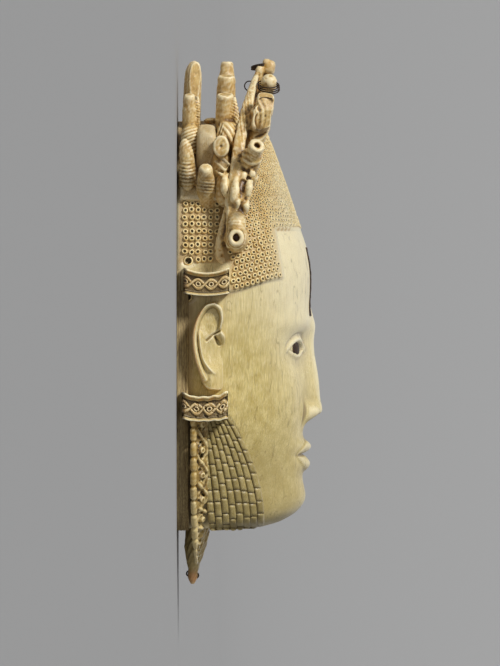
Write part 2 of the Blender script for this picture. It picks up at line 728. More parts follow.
def curl_shapes(pitch, relief, seed=11):
    """Every curl as one short drilled stud: a wall, a rounded top, a drilled hole and its floor.

    A ring of a stud is its centre, plus a radius along each spoke, plus a height along the normal."""
    field = curl_places(pitch)
    rng = np.random.default_rng(seed)
    n = len(field)
    centre = field[:, None, None, :3]
    normal = unit(field[:, 3:6])
    step = field[:, 6] * rng.uniform(0.92, 1.08, n)
    side = unit(np.cross(normal, (0.2, 1.0, 0.1)))
    up = np.cross(normal, side)
    worn = smooth(35, 50, field[:, 2]) * 0.46 + rng.uniform(0, 0.2, n)
    high = relief * (step / pitch) * (1 - worn)
    radii = np.array([0.52, 0.47, 0.38, 0.26, 0.2])
    heights = np.array([-0.5, 0.6, 1.0, 0.95, 0.2])
    dark = np.array([0.5, 0.15, 0.0, 0.15, 1.0])
    segments = 7
    angle = np.linspace(0, 2 * math.pi, segments, endpoint=False)
    wobble = 1 + 0.10 * np.cos(2 * angle[None, :] + rng.uniform(0, 6.3, (n, 1)))
    r = radii[None, :, None] * step[:, None, None] * wobble[:, None, :]
    r[:, 3:] *= (1 + 0.35 * smooth(2.5, 1.6, step))[:, None, None]
    h = heights[None, :, None] * high[:, None, None] * np.ones((1, 1, segments))
    spoke = (
        np.cos(angle)[None, None, :, None] * side[:, None, None]
        + np.sin(angle)[None, None, :, None] * up[:, None, None]
    )
    points = centre + r[..., None] * spoke + h[..., None] * normal[:, None, None]
    floor = centre[:, 0, 0] + 0.12 * high[:, None] * normal
    rings = len(radii)
    per = rings * segments + 1
    flat = np.concatenate([points.reshape(n, -1, 3), floor[:, None]], 1).reshape(-1, 3)
    cell = np.arange(rings * segments).reshape(rings, segments)
    wrapped = np.concatenate([cell, cell[:, :1]], 1)
    quad = np.stack([wrapped[:-1, :-1], wrapped[:-1, 1:], wrapped[1:, 1:], wrapped[1:, :-1]], -1)
    quad = quad.reshape(-1, 4)
    last = wrapped[-1]
    fan = np.stack([last[:-1], last[1:], np.full(segments, rings * segments)], -1)
    first = wrapped[0]
    base = first[:-1][::-1]
    start = (np.arange(n) * per)[:, None, None]
    faces = [
        (quad + start).reshape(-1, 4),
        (fan + start).reshape(-1, 3),
        (base + start[:, 0]).reshape(-1, segments),
    ]
    shade = np.concatenate([np.repeat(dark, segments), [1.0]])
    rubbed = np.repeat(worn, per)
    shape = Shape(flat, faces, hole=np.tile(shade, n) * (1 - 0.3 * rubbed), worn=rubbed)
    return shape.outward()


def cord_hole_shapes():
    """The rim of each hole for a cord: a thin lip about a straight wall, with a floor in shadow."""
    shapes = []
    for y, z in CORD_HOLES:
        here, normal = on_head(angle_at_depth(np.array([y]), np.array([z])), np.array([y]))
        c, d = here[0], normal[0]
        lip = [(0.0, 2.2), (0.86, 2.1), (0.95, 1.75)]
        wall = [(0.93, CORD_HOLE), (0.2, CORD_HOLE), (0.2, 0.05)]
        hole = turned(c - d * 3.4, c + d * 0.25, lip + wall, 24)
        inside = np.repeat([0.6, 0.2, 0.0, 0.8, 1.0, 1.0], 24)
        hole.values["hole"] = np.concatenate([inside, [0.6, 1.0]])
        hole.values["worn"] = np.zeros(len(hole.points))
        shapes.append(hole)
    return both_sides(shapes)


# Ears


def line_distance(p, path):
    """Distance from points (n, 2) to a path (m, 2), and how far along it the nearest place is, 0 to 1."""
    a = path[:-1][None]
    ab = (path[1:] - path[:-1])[None]
    ap = p[:, None] - a
    t = np.clip((ap * ab).sum(-1) / np.maximum((ab * ab).sum(-1), 1e-9), 0, 1)
    gap = np.linalg.norm(ap - t[..., None] * ab, axis=-1)
    i = gap.argmin(1)
    rows = np.arange(len(p))
    return gap[rows, i], (i + t[rows, i]) / (len(path) - 1)


def inside_outline(p, outline):
    """Whether points lie inside a closed outline: an odd count of edges crossed going right."""
    a = outline[None]
    b = np.roll(outline, -1, 0)[None]
    y = p[:, None, 1]
    crosses = (a[..., 1] > y) != (b[..., 1] > y)
    slope = (b[..., 0] - a[..., 0]) / np.where(b[..., 1] == a[..., 1], 1e-9, b[..., 1] - a[..., 1])
    return (crosses & (p[:, None, 0] < a[..., 0] + (y - a[..., 1]) * slope)).sum(1) % 2 == 1


# How far out the ear reaches and is rooted, then its outline and ridges as depth and height
EAR_OUT = 58.5
EAR_ROOT = 44.0
EAR_OUTLINE = [
    (17.2, 128.4), (12.6, 126.9), (9.0, 121.6), (7.0, 115.5), (6.7, 109.5), (7.6, 103),
    (9.6, 96.8), (12.6, 89.9), (16.8, 88.4), (20.7, 89.2), (21.3, 97), (21.5, 105.3),
    (22.2, 112.2), (20.4, 115.9), (21.3, 120.3), (20.6, 125.6),
]
EAR_HELIX = [
    (20.4, 116.8), (20.7, 121.4), (19.2, 125.6), (16.2, 127.3), (12.4, 125.2),
    (9.2, 120.0), (7.9, 113.0), (8.4, 106.0), (10.0, 99.5), (12.6, 93.5),
]
EAR_FOLD = [(10.2, 115.6), (10.7, 108.4), (11.9, 102.9), (14.3, 98.8), (17.2, 96.4)]


def flat_curve(points, count):
    """A smooth path through points in a plane."""
    return curve([(a, b, 0) for a, b in points], count)[:, :2]


def ear_shape():
    """Heights over a patch at the side of the head: a rim along its path, a fold inside it, a wide upper
    hollow, a bowl with its hole behind a small lobe, and the ear lobe. Each is a hump about a point or
    a path."""
    z, y = np.meshgrid(np.linspace(4.6, 24.2, 94), np.linspace(86.6, 130.6, 176))
    p = np.stack([z, y], -1).reshape(-1, 2)
    outline = flat_curve([*EAR_OUTLINE, EAR_OUTLINE[0]], 160)
    edge, _ = line_distance(p, outline)
    signed = np.where(inside_outline(p, outline[:-1]), edge, -edge)

    def spot(centre, radii, height, power=1.0):
        """A bell about a place, with a flatter top the more its power is over 1."""
        away = (((p - centre) / radii) ** 2).sum(1)
        return height * np.exp(-(away**power))

    d_rim, along = line_distance(p, flat_curve(EAR_HELIX, 90))
    d_fold, run = line_distance(p, flat_curve(EAR_FOLD, 50))
    d_cut, _ = line_distance(p, flat_curve([(13.4, 111.0), (16.6, 113.6), (20.4, 115.6)], 20))
    rim = mix(2.2, 3.0, smooth(0.0, 0.3, along)) * mix(1, 0.5, smooth(0.8, 1, along))
    rim = rim * np.exp(-((d_rim / 1.25) ** 4))
    fold = 2.0 * hump(d_fold, 0, 1.05) * smooth(-0.02, 0.15, run) * mix(1, 0.7, smooth(0.7, 1, run))
    hollow = spot((14.8, 119.2), (4.2, 6.4), -1.5, 1.6) + spot((16.6, 105.6), (3.4, 6.4), -2.0, 1.6)
    d_canal, _ = line_distance(p, flat_curve([(17.3, 112.4), (18.0, 111.0), (18.9, 109.4)], 12))
    canal = -3.2 * np.exp(-((d_canal / 0.75) ** 2))
    incision = -1.6 * np.exp(-((d_cut / 0.5) ** 2))
    lobes = spot((20.6, 112.6), (1.6, 3.2), 2.4) + spot((17.0, 94.0), (4.6, 5.2), 1.6)
    slope = -8.4 * smooth(15.0, 22, p[:, 0]) * mix(1, 0.3, smooth(108, 118, p[:, 1]))
    raised = EAR_OUT - 3.3 + np.maximum(rim, fold) + hollow + canal + incision + lobes + slope
    x = mix(EAR_ROOT, np.minimum(raised, EAR_OUT), smooth(-0.7, 0.8, signed))
    x = x + 0.08 * waves(np.c_[p, p[:, :1]], 2.5, 8)
    front = np.stack([-x.reshape(z.shape), y, z], -1)
    back = front[:, [-1, 0]].copy()
    back[..., 0] = 1 - EAR_ROOT
    stain = np.exp(-((d_rim / 1.5) ** 2)) * smooth(2.4, 0.6, edge) * smooth(0.35, 0.5, along)
    both = np.concatenate([stain.reshape(z.shape), np.zeros((len(z), 2))], 1)
    return grid(np.concatenate([front, back], 1), stain=both)


# Flanges


# How far out the flanges are rooted, and the most that they reach
FLANGE_ROOT = 40.0
FLANGE_REACH = 63.4


def flange_shape(bottom, top, back, front, out, sag, ragged=0.0):
    """A thick band with sagging long edges: its face has two lips, two crossing strands and ringed eyes.

    The strands swing as opposite sines, one over the other by turns, and an eye fills each loop."""
    z = np.linspace(back, front, 132)[:, None]
    across = (z - back) / (front - back)
    bow = 4 * across * (1 - across)
    rough = ragged * waves(np.stack([z * 0, z * 0, z], -1), 4.5, 33)
    low = bottom - sag * 0.5 * bow + 0.5 * rough
    high = top - sag * bow + rough
    v = np.linspace(0, 1, 66)[None, :]
    height = high - low
    y = low + v * height
    pitch = 5.8
    run = (z - back - 3.6) / pitch
    turns = math.pi * run
    lips = np.maximum(1.25 * hump(v, 0.94, 0.08), hump(v, 0.03, 0.06)) + 0.5 * hump(v, 0.15, 0.018)
    swing = 0.185 * np.sin(turns)
    over = 0.3 * np.cos(turns)
    wide = 0.068
    strand_a = (0.95 + over) * np.exp(-(((v - 0.49 - swing) / wide) ** 4))
    strand_b = (0.95 - over) * np.exp(-(((v - 0.49 + swing) / wide) ** 4))
    phase = run % 1.0 - 0.5
    radius = np.sqrt((phase * pitch) ** 2 + ((v - 0.49) * height) ** 2)
    eye = 0.95 * np.exp(-(((radius - 0.9) / 0.36) ** 2)) - 0.6 * np.exp(-((radius / 0.42) ** 2))
    field = smooth(0.09, 0.13, v) * smooth(0.83, 0.79, v)
    raised = np.maximum(np.maximum(strand_a, strand_b), eye)
    relief = 1.2 * lips + field * raised - 0.85 * field
    where = np.stack(np.broadcast_arrays(z * 0 + 1, y, z), -1)
    pits = ragged * field * 1.6 * smooth(0.35, 0.7, waves(where, 1.9, 35))
    x = out - 1.3 + relief - pits + 0.12 * waves(where, 2.4, 21) - 0.25 * ragged * waves(where, 5, 22)
    end = smooth(0, 0.9, z - back) * smooth(0, 1.4, front - z)
    x = np.minimum(x - 1.1 * (1 - end), FLANGE_REACH)
    face = np.stack(np.broadcast_arrays(-x, y, z), -1)
    inner_x = np.full_like(low, -FLANGE_ROOT)
    foot = np.stack(np.broadcast_arrays(inner_x, low + 0.25, z), -1)
    lid = np.stack(np.broadcast_arrays(inner_x, high - 0.25, z), -1)
    steps = np.linspace(0, 1, 8)[None, 1:-1, None]
    under = foot + (face[:, :1] - foot) * steps
    upper = face[:, -1:] + (lid - face[:, -1:]) * steps
    rows = np.concatenate([foot, under, face, upper, lid], 1)
    warm = np.broadcast_to(hump(v, 0.88, 0.06) * (0.6 + 0.4 * np.sin(z * 1.3)), y.shape)
    ground = np.maximum(field * smooth(0.5, 0.1, raised), 0.9 * smooth(back + 2.6, back + 0.8, z))
    warm = np.maximum(warm, 0.5 * field * (raised > 0.6))
    beside = ((0, 0), (7, 7))
    return grid(rows, stain=np.pad(warm, beside), ground=np.pad(ground, beside))


# Beads


def fringe_front(s):
    """How far forward the fringe of beads reaches, from its top (0) to its bottom (1)."""
    return 21.4 + 18.0 * np.maximum(np.sin(s * math.pi / 2 * 1.05), 0) ** 0.85


def bead_shape(length, relief, seed=7):
    """A fringe of strands that spread down the jaw, over the head's side.

    A bead is a rounded oblong: an arch across its strand times an arch at each end, with joints at uneven
    places along the strand."""
    strands = 8
    rng = np.random.default_rng(seed)
    per = 17
    t = (np.arange(strands * per) + 0.5) / (strands * per)
    strand = np.minimum((t * strands).astype(int), strands - 1)
    u = (t * strands - strand) * 2 - 1
    s = np.linspace(0, 1, 170)[:, None]
    z_back = mix(8.6, 14.6, s**0.8)
    z_front = fringe_front(s)
    end = 25.2 + 1.8 * t**3 + rng.uniform(-0.25, 0.3, strands)[strand]
    wiggle = rng.uniform(-0.3, 0.3, strands)[strand]
    scallop = 1.1 * (1 - np.sqrt(np.maximum(1 - u**2, 0)))
    y = mix(FRINGE_TOP, end + scallop, s)
    z = mix(z_back, z_front, t) + wiggle * np.sin(s * math.pi * 2)
    down = FRINGE_TOP - y
    offset = rng.uniform(0, length, strands)
    distance = np.full(y.shape, 9.0)
    tone = np.zeros(y.shape)
    for k in range(strands):
        cols = strand == k
        joints = np.cumsum(length * rng.uniform(0.8, 1.25, 16)) - offset[k]
        gap = np.abs(down[:, cols, None] - joints)
        distance[:, cols] = gap.min(-1)
        bead = (down[:, cols, None] > joints).sum(-1)
        tone[:, cols] = rng.uniform(-1, 1, 24)[np.minimum(bead, 23)]
    crown = np.sqrt(np.maximum(1 - np.abs(u) ** 2.6, 0))
    ends = np.sqrt(np.maximum(1 - np.clip(1 - distance / 1.3, 0, 1) ** 2, 0))
    high = relief * crown * mix(0.12, 1.0, ends)
    high = high * smooth(-0.01, 0.03, s) + 0.05
    x = head_side(z, np.maximum(y, 26.6)) + high
    face = np.stack(np.broadcast_arrays(-x, y, z), -1)
    deep = face[:, [-1, 0]].copy()
    deep[..., 0] += 6.0
    rows = np.concatenate([face, deep], 1)
    joint = np.maximum(1 - crown, smooth(0.34, 0.1, distance)) * np.ones_like(y)
    pad = np.zeros((len(rows), 2))
    return grid(rows, joint=np.concatenate([joint, pad + 0.5], 1), tone=np.concatenate([tone, pad], 1))


# Crest


def fan_band(across, up, bottom, z_centre, thickness, inner, lean=0, ridges=0, deep=0.5, curl=0, thin=0):
    """An upright band along half an ellipse about the fan's centre, from an inner share of its radius.

    Its rim is a rounded edge with ridges along it, as a cosine of the place through the thickness. It
    leans out by the height, and curls by the height squared."""
    start = math.asin((bottom - FAN_CENTRE) / up)
    angle = np.linspace(start, math.pi - start, 150)[:, None]
    ring = np.concatenate([np.linspace(inner, 0.97, 14), np.ones(25), np.linspace(0.97, inner, 14)])
    w = np.concatenate([np.ones(14), np.cos(np.linspace(0, math.pi, 25)), -np.ones(14)])
    edge = 1 - np.sqrt(np.maximum(1 - w**6, 0)) + deep * (0.5 - 0.5 * np.cos(2 * math.pi * ridges * w))
    edge = edge + 0.2 * np.sin(angle * 31 + w) * (ridges > 0)
    x = (across * ring - edge) * np.cos(angle)
    rise = (up * ring - edge) * np.sin(angle)
    z = z_centre + lean * rise + curl * rise**2 + w * (thickness - thin * np.maximum(rise - 58, 0)) / 2
    return grid(np.stack([x, FAN_CENTRE + rise, z], -1))


def post(stations, count=26, segments=20):
    """A rounded post through stations of x, y, z and radius, which run smoothly from one to the next."""
    stations = np.asarray(stations, float)
    at = np.linspace(0, len(stations) - 1, count)
    radii = np.interp(at, np.arange(len(stations)), stations[:, 3])
    return tube(curve(stations[:, :3], count), radii, segments)


def small_face(middle, out, size=1.0):
    """A bearded face at the front of a figure: ellipsoids for nose, eyes, lips and beard, long hair."""
    front = np.array([0, 0, 1.0])
    d = unit(out)
    side = unit(np.cross(d, front))
    m = np.asarray(middle, float)
    forms = [
        ball(m, (4.6 * size, 4.2 * size, 5.4 * size), d),
        ball(m + (front * 4.1 + d * 0.2) * size, (0.8 * size, 1.0 * size, 1.9 * size), d),
        ball(m + (front * 3.9 - d * 2.6) * size, (1.3 * size, 0.7 * size, 0.5 * size), d),
        ball(m + (front * 2.6 - d * 5.4) * size, (2.6 * size, 1.9 * size, 3.2 * size), d),
    ]
    for s in (-1, 1):
        eye = m + (front * 3.7 + side * 1.8 * s + d * 1.3) * size
        forms.append(ball(eye, (1.0 * size, 0.7 * size, 0.6 * size), d))
        hair = [
            m + side * 4.0 * s + d * 3.4,
            m + side * 5.2 * s + front * 0.8 - d,
            m + side * 4.6 * s - d * 7,
        ]
        forms.append(tube(curve(hair, 14), 1.1 * size, 8))
    return forms


def back_row():
    """Back row: a tall finger with two shorter ones on each side, ribbed fish below them and a knob."""
    middle = [
        post([
            (0, 198, 5.8, 4.0), (0, 206, 5.9, 3.9), (0, 218, 6.4, 4.0), (0, 228, 6.9, 3.9),
            (0, 233, 7.2, 3.6), (0, 236.3, 7.6, 2.3), (0, 237.7, 7.8, 0.4),
        ]),
    ]
    near = [
        post([
            (-13, 196, 6.3, 3.6), (-16.5, 212, 6.9, 3.5), (-18.3, 224, 7.4, 3.3),
            (-18.8, 231, 7.9, 3.1), (-18.9, 235.4, 8.2, 2.2), (-18.9, 236.9, 8.3, 0.5),
        ]),
        turned((-25, 192, 6.3), (-34.6, 221.6, 5.7), [
            (0, 3.8), (0.35, 3.9), (0.6, 3.6), (0.8, 3.4), (0.84, 2.9), (0.97, 2.5), (0.99, 2.2),
            (1.0, 1.6), (1.0, 0.05),
        ]),
        ball((-33.5, 201.0, 6.2), (7.0, 4.5, 6.8), (-0.35, 1, 0), 0.8),
        post([
            (-38, 178, 4.6, 4.2), (-43.6, 186, 4.7, 4.1), (-46.3, 193, 4.4, 3.5),
            (-47.3, 198, 4.0, 2.8), (-47.5, 200.6, 3.9, 1.9), (-47.5, 201.6, 3.9, 0.4),
        ]),
        ball((-43.6, 185, 4.9), (6.0, 3.8, 7.6), (-0.2, 1, 0)),
        turned((-37, 170, 13.4), (-54.6, 188.9, 13.0), [
            (0, 5.2), (0.5, 4.6), (0.76, 3.7), (0.8, 3.3), (0.84, 3.25), (0.9, 3.3), (0.96, 2.9),
            (0.99, 2.0), (1, 0.6),
        ]),
        ball((-25, 209.7, 15.4), (8.0, 3.6, 1.2), (0.1, 1, 0)),
        ball((-12, 204.6, 15.0), (9.0, 2.6, 3.6), (0.12, 1, 0)),
        post([(-31.0, 221, 9.6, 0.9), (-31.0, 208, 9.6, 1.1)], 20, 10),
    ]
    return [*middle, *both_sides(near)]


# Furrows: middle, half sizes, the way across them, their spacing, depth and bend
BACK_GROOVES = [
    ((-38.5, 200.8, 6.4), (12, 6.0, 5.0), (0, 0.91, -0.41), 1.5, 0.42, 0.03),
    ((-48.5, 185.4, 4.7), (10, 5.8, 3.9), (0, 1, 0), 1.6, 0.55, -0.07),
    ((-45.0, 180.0, 13.4), (12, 3.6, 4.4), (0, 1, 0.1), 1.4, 0.42, -0.03),
    ((-31.4, 214.5, 9.8), (4, 6.5, 1.6), (0, 1, 0.3), 1.2, 0.4, 0.0),
    ((-24.0, 199.0, 13.6), (16, 8.5, 3.0), (0, 0.05, 1), 1.5, 0.25, 0.0),
]
# Chisel cuts: middle, reach, the way they face, and how far behind the middle they lie
BACK_FACETS = [
    ((-21.0, 227.0, 8.0), 10.5, (-0.98, 0.03, 0.2), 0.3),
]


def middle_row():
    """Middle row: tall hats, one with a flat round end and one that ends in a disc, over locks."""
    middle = [
        turned((0, 190, 21.2), (0, 237.3, 22.5), [
            (0, 4.4), (0.5, 4.3), (0.82, 4.1), (0.87, 3.55), (0.97, 2.9), (0.99, 2.7), (1, 2.4),
            (1, 0.05),
        ]),
    ]
    near = [
        turned((-13, 198, 21.6), (-19.4, 230.4, 22.2), [
            (0, 4.6), (0.5, 4.5), (0.8, 4.3), (0.97, 3.9), (0.99, 3.7), (1, 3.3), (1, 0.05),
        ]),
        turned((-31.4, 203, 21.4), (-37.2, 221.6, 21.8), [
            (0, 4.2), (0.34, 4.2), (0.36, 4.35), (0.6, 4.2), (0.94, 3.85), (0.98, 3.6), (1, 3.2),
            (1, 2.4), (0.985, 2.2), (0.985, 0.05),
        ]),
        ball((-36.5, 202.6, 22.4), (7.5, 5.0, 7.2), (-0.3, 1, 0), 0.85),
        turned((-39, 197.4, 20.0), (-54.0, 197.8, 19.9), [
            (0, 4.7), (0.9, 5.0), (0.985, 4.9), (1, 4.6), (1, 0.9), (0.93, 0.8), (0.93, 0.05),
        ], squash=0.74),
        ball((-41, 189, 20.0), (7.5, 4.6, 8.0), (-0.2, 1, 0)),
        ball((-44.5, 178.5, 21.0), (6.0, 4.2, 8.0), (-0.1, 1, 0)),
        post([
            (-49, 195.2, 17.2, 0.7), (-52.0, 193.0, 19.6, 0.9), (-51.6, 190.4, 22.6, 0.9),
            (-49.6, 189.6, 23.8, 0.6),
        ], 16, 10),
        post([
            (-49, 191.4, 17.2, 0.7), (-51.4, 189.2, 19.4, 0.85), (-51.0, 187.2, 21.6, 0.85),
            (-49.4, 188.6, 22.8, 0.5),
        ], 16, 10),
        post([
            (-48.6, 187.4, 17.4, 0.6), (-50.8, 185.4, 19.6, 0.8), (-50.6, 184.4, 22.4, 0.8),
            (-49.2, 186.0, 23.8, 0.5),
        ], 16, 10),
        post([
            (-48.8, 186.2, 21.8, 1.0), (-51.6, 182.0, 21.6, 2.0), (-52.2, 178.4, 21.7, 2.1),
            (-50.8, 175.2, 22.2, 0.9),
        ], 18, 14),
        post([
            (-50.0, 175.6, 22.8, 0.9), (-52.2, 172.6, 23.0, 1.7), (-52.6, 169.4, 23.2, 1.7),
            (-51.6, 166.4, 23.3, 0.8),
        ], 18, 14),
        post([
            (-30, 220.5, 25.7, 0.8), (-33.5, 214, 26.6, 1.6), (-38.5, 205, 27.6, 2.2),
            (-42, 196, 27.0, 1.8),
        ], 18, 12),
    ]
    return [*middle, *both_sides(near)]


MIDDLE_GROOVES = [
    ((-43.0, 203.2, 23.6), (12, 6.2, 4.6), (0, 0.51, 0.86), 2.3, 0.5, 0.03),
    ((-43.0, 206.0, 18.8), (12, 3.2, 2.2), (0, -0.3, 0.95), 1.3, 0.7, 0.0),
    ((-36.0, 213.0, 26.8), (8, 7.5, 2.4), (0, 0.8, 0.6), 1.35, 0.45, 0.06),
    ((-48.0, 181.0, 25.0), (10, 12.0, 2.0), (0, 0.1, 1), 1.3, 0.5, 0.0),
]


def front_row():
    """Front row on its leaning sheet: hatted heads, mudfish, a knob with a neck and a broken stump."""
    middle = [
        fan_band(56.5, 75, 152, 24.8, 5.3, 0.58, lean=-0.008, ridges=4, deep=0.85, curl=0.0021, thin=0.18),
        post([(0, 190, 28.5, 4.6), (0, 212, 34.0, 4.7), (0, 224, 37.4, 4.1), (0, 231, 39.4, 3.2)]),
        ball((0, 234.4, 41.6), (5.2, 2.7, 3.4), (0.1, 1, 0.15), 0.6),
        ball((-1.5, 236.0, 40.4), (3.4, 1.9, 2.0), (0.4, 1, 0.1), 0.6),
        *small_face((0, 219, 38.0), (0, 1, 0.2), 0.95),
    ]
    near = [
        post([
            (-3.4, 222, 35.2, 1.6), (-3.8, 229.0, 36.4, 1.7), (-4.2, 233.4, 37.2, 1.9),
            (-4.2, 235.4, 37.4, 1.4),
        ], 16, 12),
        post([
            (-13, 196, 31, 3.8), (-17, 210, 35.6, 4.6), (-19.4, 218.5, 38.8, 4.2),
            (-20.4, 224.6, 40.6, 3.1),
        ], 30),
        turned((-18.4, 222.8, 40.2), (-23.4, 230.4, 42.2), [
            (0, 3.0), (0.35, 3.3), (0.55, 3.7), (0.75, 3.5), (0.9, 2.6), (0.98, 1.5), (0.98, 0.7),
            (0.86, 0.5), (0.86, 0.05),
        ]),
        turned((-25, 196, 33.0), (-39.5, 213.5, 37.9), [
            (0, 4.0), (0.4, 5.2), (0.7, 5.4), (0.92, 5.3), (1.0, 3.4), (1, 0.05),
        ]),
        ball((-38.6, 210.2, 37.4), (5.0, 4.9, 5.6), (-0.3, 1, 0.1), 0.55),
        ball((-40.0, 217.4, 39.6), (4.4, 4.1, 4.7), (-0.2, 1, 0.12), 0.55),
        ball((-44.4, 210.6, 35.2), (1.4, 1.5, 5.6), (0.02, 1, 0.1), 0.7),
        turned((-40, 185.6, 30.4), (-58.4, 198.5, 36.1), [
            (0, 4.8), (0.3, 4.9), (0.5, 4.8), (0.55, 4.3), (0.57, 4.9), (0.64, 4.8), (0.66, 3.9),
            (0.7, 3.8), (0.82, 3.5), (0.86, 3.8), (0.97, 3.7), (1, 3.2), (1, 1.5), (0.97, 1.4),
            (0.88, 1.35), (0.88, 0.05),
        ]),
        *small_face((-42.5, 184.0, 33.0), (-0.78, 0.6, 0.25), 0.75),
        ball((-51.5, 185.4, 34.0), (1.6, 1.5, 1.6), (0.1, 1, 0.1), 0.5),
        ball((-50.5, 184.6, 30.0), (1.7, 1.4, 1.8), (0.1, 1, 0.1), 0.5),
        ball((-47.5, 176.5, 28.8), (6.0, 4.4, 7.6), (0.1, 1, 0.1)),
        post([
            (-52.0, 184.0, 26.8, 1.2), (-55.0, 179.0, 26.3, 2.1), (-55.6, 174.5, 25.9, 2.2),
            (-54.0, 171.0, 26.0, 1.4),
        ], 18, 14),
        post([(-53.6, 175.6, 27.6, 0.8), (-56.4, 173.0, 27.4, 1.3), (-55.4, 170.2, 27.2, 0.9)], 14, 12),
        post([(-51.6, 182.4, 32.6, 1.2), (-54.6, 179.4, 32.4, 1.9), (-54.4, 175.2, 31.8, 1.3)], 14, 14),
        post([(-52.4, 173.6, 31.4, 1.1), (-54.6, 170.8, 31.2, 1.6), (-53.4, 168.0, 31.0, 1.0)], 14, 14),
        post([(-52.0, 178.8, 29.6, 0.9), (-54.4, 174.6, 29.4, 1.2), (-53.0, 169.6, 28.8, 0.8)], 14, 12),
        turned((-40, 156.6, 26.6), (-62.8, 156.8, 26.7), [
            (0, 7.0), (0.5, 6.4), (0.66, 5.4), (0.72, 4.9), (0.76, 5.2), (0.84, 5.2), (0.86, 4.3),
            (0.9, 4.2), (0.96, 4.3), (0.985, 3.9), (1, 3.3), (1, 2.0), (0.97, 1.85), (0.86, 1.8),
            (0.86, 0.05),
        ], squash=0.84),
        post([
            (-47.0, 171.5, 26.4, 1.8), (-52.6, 167.2, 26.8, 3.3), (-56.4, 163.4, 27.0, 4.2),
            (-57.8, 159.4, 26.8, 3.8),
        ], 20, 18),
        post([
            (-49.6, 176, 24.4, 1.4), (-49.2, 166.5, 22.0, 1.8), (-48.6, 160, 20.5, 2.0),
            (-48.0, 154, 19.2, 2.1), (-47.2, 149.0, 19.0, 2.3), (-45.6, 145.4, 20.6, 2.4),
            (-43.0, 143.6, 22.6, 2.0),
        ], 44, 16),
    ]
    return [*middle, *both_sides(near)]


FRONT_GROOVES = [
    ((-50.0, 193.5, 31.0), (12, 5.0, 3.0), (0, 0.86, 0.5), 2.4, 0.35, 0.0),
    ((-58.0, 163.0, 26.6), (8, 2.6, 5.0), (0, 1, 0), 1.5, 0.12, 0.05),
    ((-36.0, 211.0, 30.5), (26, 16.0, 3.6), (0, 0.12, 1), 1.5, 0.28, 0.0),
    ((-44.0, 212.5, 36.5), (8, 7.0, 5.0), (0, 0.1, 1), 2.3, 0.4, 0.04),
]
FRONT_FACETS = [
    ((-43.2, 216.4, 40.2), 4.2, (-0.9, 0.2, 0.35), 0.4),
    ((-42.8, 209.8, 39.4), 4.6, (-0.85, -0.3, 0.42), 0.6),
    ((-40.0, 204.6, 38.4), 5.0, (-0.3, -0.85, 0.42), 0.6),
    ((-41.0, 221.2, 40.0), 3.6, (-0.4, 0.9, 0.1), 0.4),
]
# Orange stains of the crest: height, depth, reach and strength
STAINS = (
    (235.5, 41.0, 4.6, 1.0), (212, 31, 5.0, 0.45), (200, 30, 6.0, 0.5), (206, 36, 4.0, 0.5),
    (150, 20, 5.0, 0.4), (213, 26.6, 5.0, 0.5), (192, 20, 4.0, 0.6), (223, 6.0, 4.0, 0.3),
)
# Places in the crest that old grime has blackened: height, depth, reach and strength
GRIME = (
    (183.5, 4.5, 4.6, 0.7), (179.5, 13.2, 4.4, 0.8), (191.5, 21, 3.4, 0.8), (205.2, 37, 2.8, 1.0),
    (204.5, 33.0, 2.2, 0.8), (167.8, 27.2, 2.6, 0.9), (196, 28.5, 2.4, 0.5), (207.4, 15.0, 1.2, 0.8),
    (208.5, 17.4, 1.6, 0.7), (214, 28.4, 2.2, 0.6), (198, 8.6, 2.0, 0.5), (186, 8.4, 2.4, 0.7),
)


# Collar


# The ribbon's middle line from the ear to the chin, and the size of the cells it is fused in
COLLAR_PATH = [(-53.5, 79), (-51, 58), (-43, 37), (-29, 23.5), (-13, 18.6), (0, 17.6)]
COLLAR_CELL = 0.47
# Stations of the tip under the chin: x, y, z and radius
TIP = np.array([
    (0, 29, 9.6, 5.3), (0, 24, 9.3, 5.0), (0, 19, 8.8, 4.4), (0, 14, 8.1, 3.4),
    (0, 10, 7.6, 2.2), (0, 6.4, 7.1, 1.8), (0, 3.2, 6.9, 1.9), (0, 0.5, 6.8, 0.7),
])


def collar_frames(count):
    """Middle line of the ribbon with its half width and thickness vectors, evenly spaced."""
    line = even(curve([(x, y, 0) for x, y in COLLAR_PATH], count * 4))
    pick = np.linspace(0, len(line) - 1, count).astype(int)
    line = line[pick]
    t = np.linspace(0, 1, count)
    under = smooth(0.35, 0.95, t)
    along = unit(np.gradient(line, axis=0))
    along[-1] = (1, 0, 0)
    inward = np.stack([-along[:, 1], along[:, 0], np.zeros(count)], -1)
    middle = line.copy()
    middle[:, 2] = mix(10.5, 10.2, under)
    across = inward * mix(3.0, 8.8, under)[:, None]
    across[:, 2] = mix(3.5, 2.1, under)
    thick = unit(np.cross(along, across)) * 1.7
    thick *= np.sign(thick[:, 2:3] + 1e-9)
    step = np.linalg.norm(np.diff(line, axis=0), axis=1)
    return middle, across, thick, np.concatenate([[0], np.cumsum(step)])


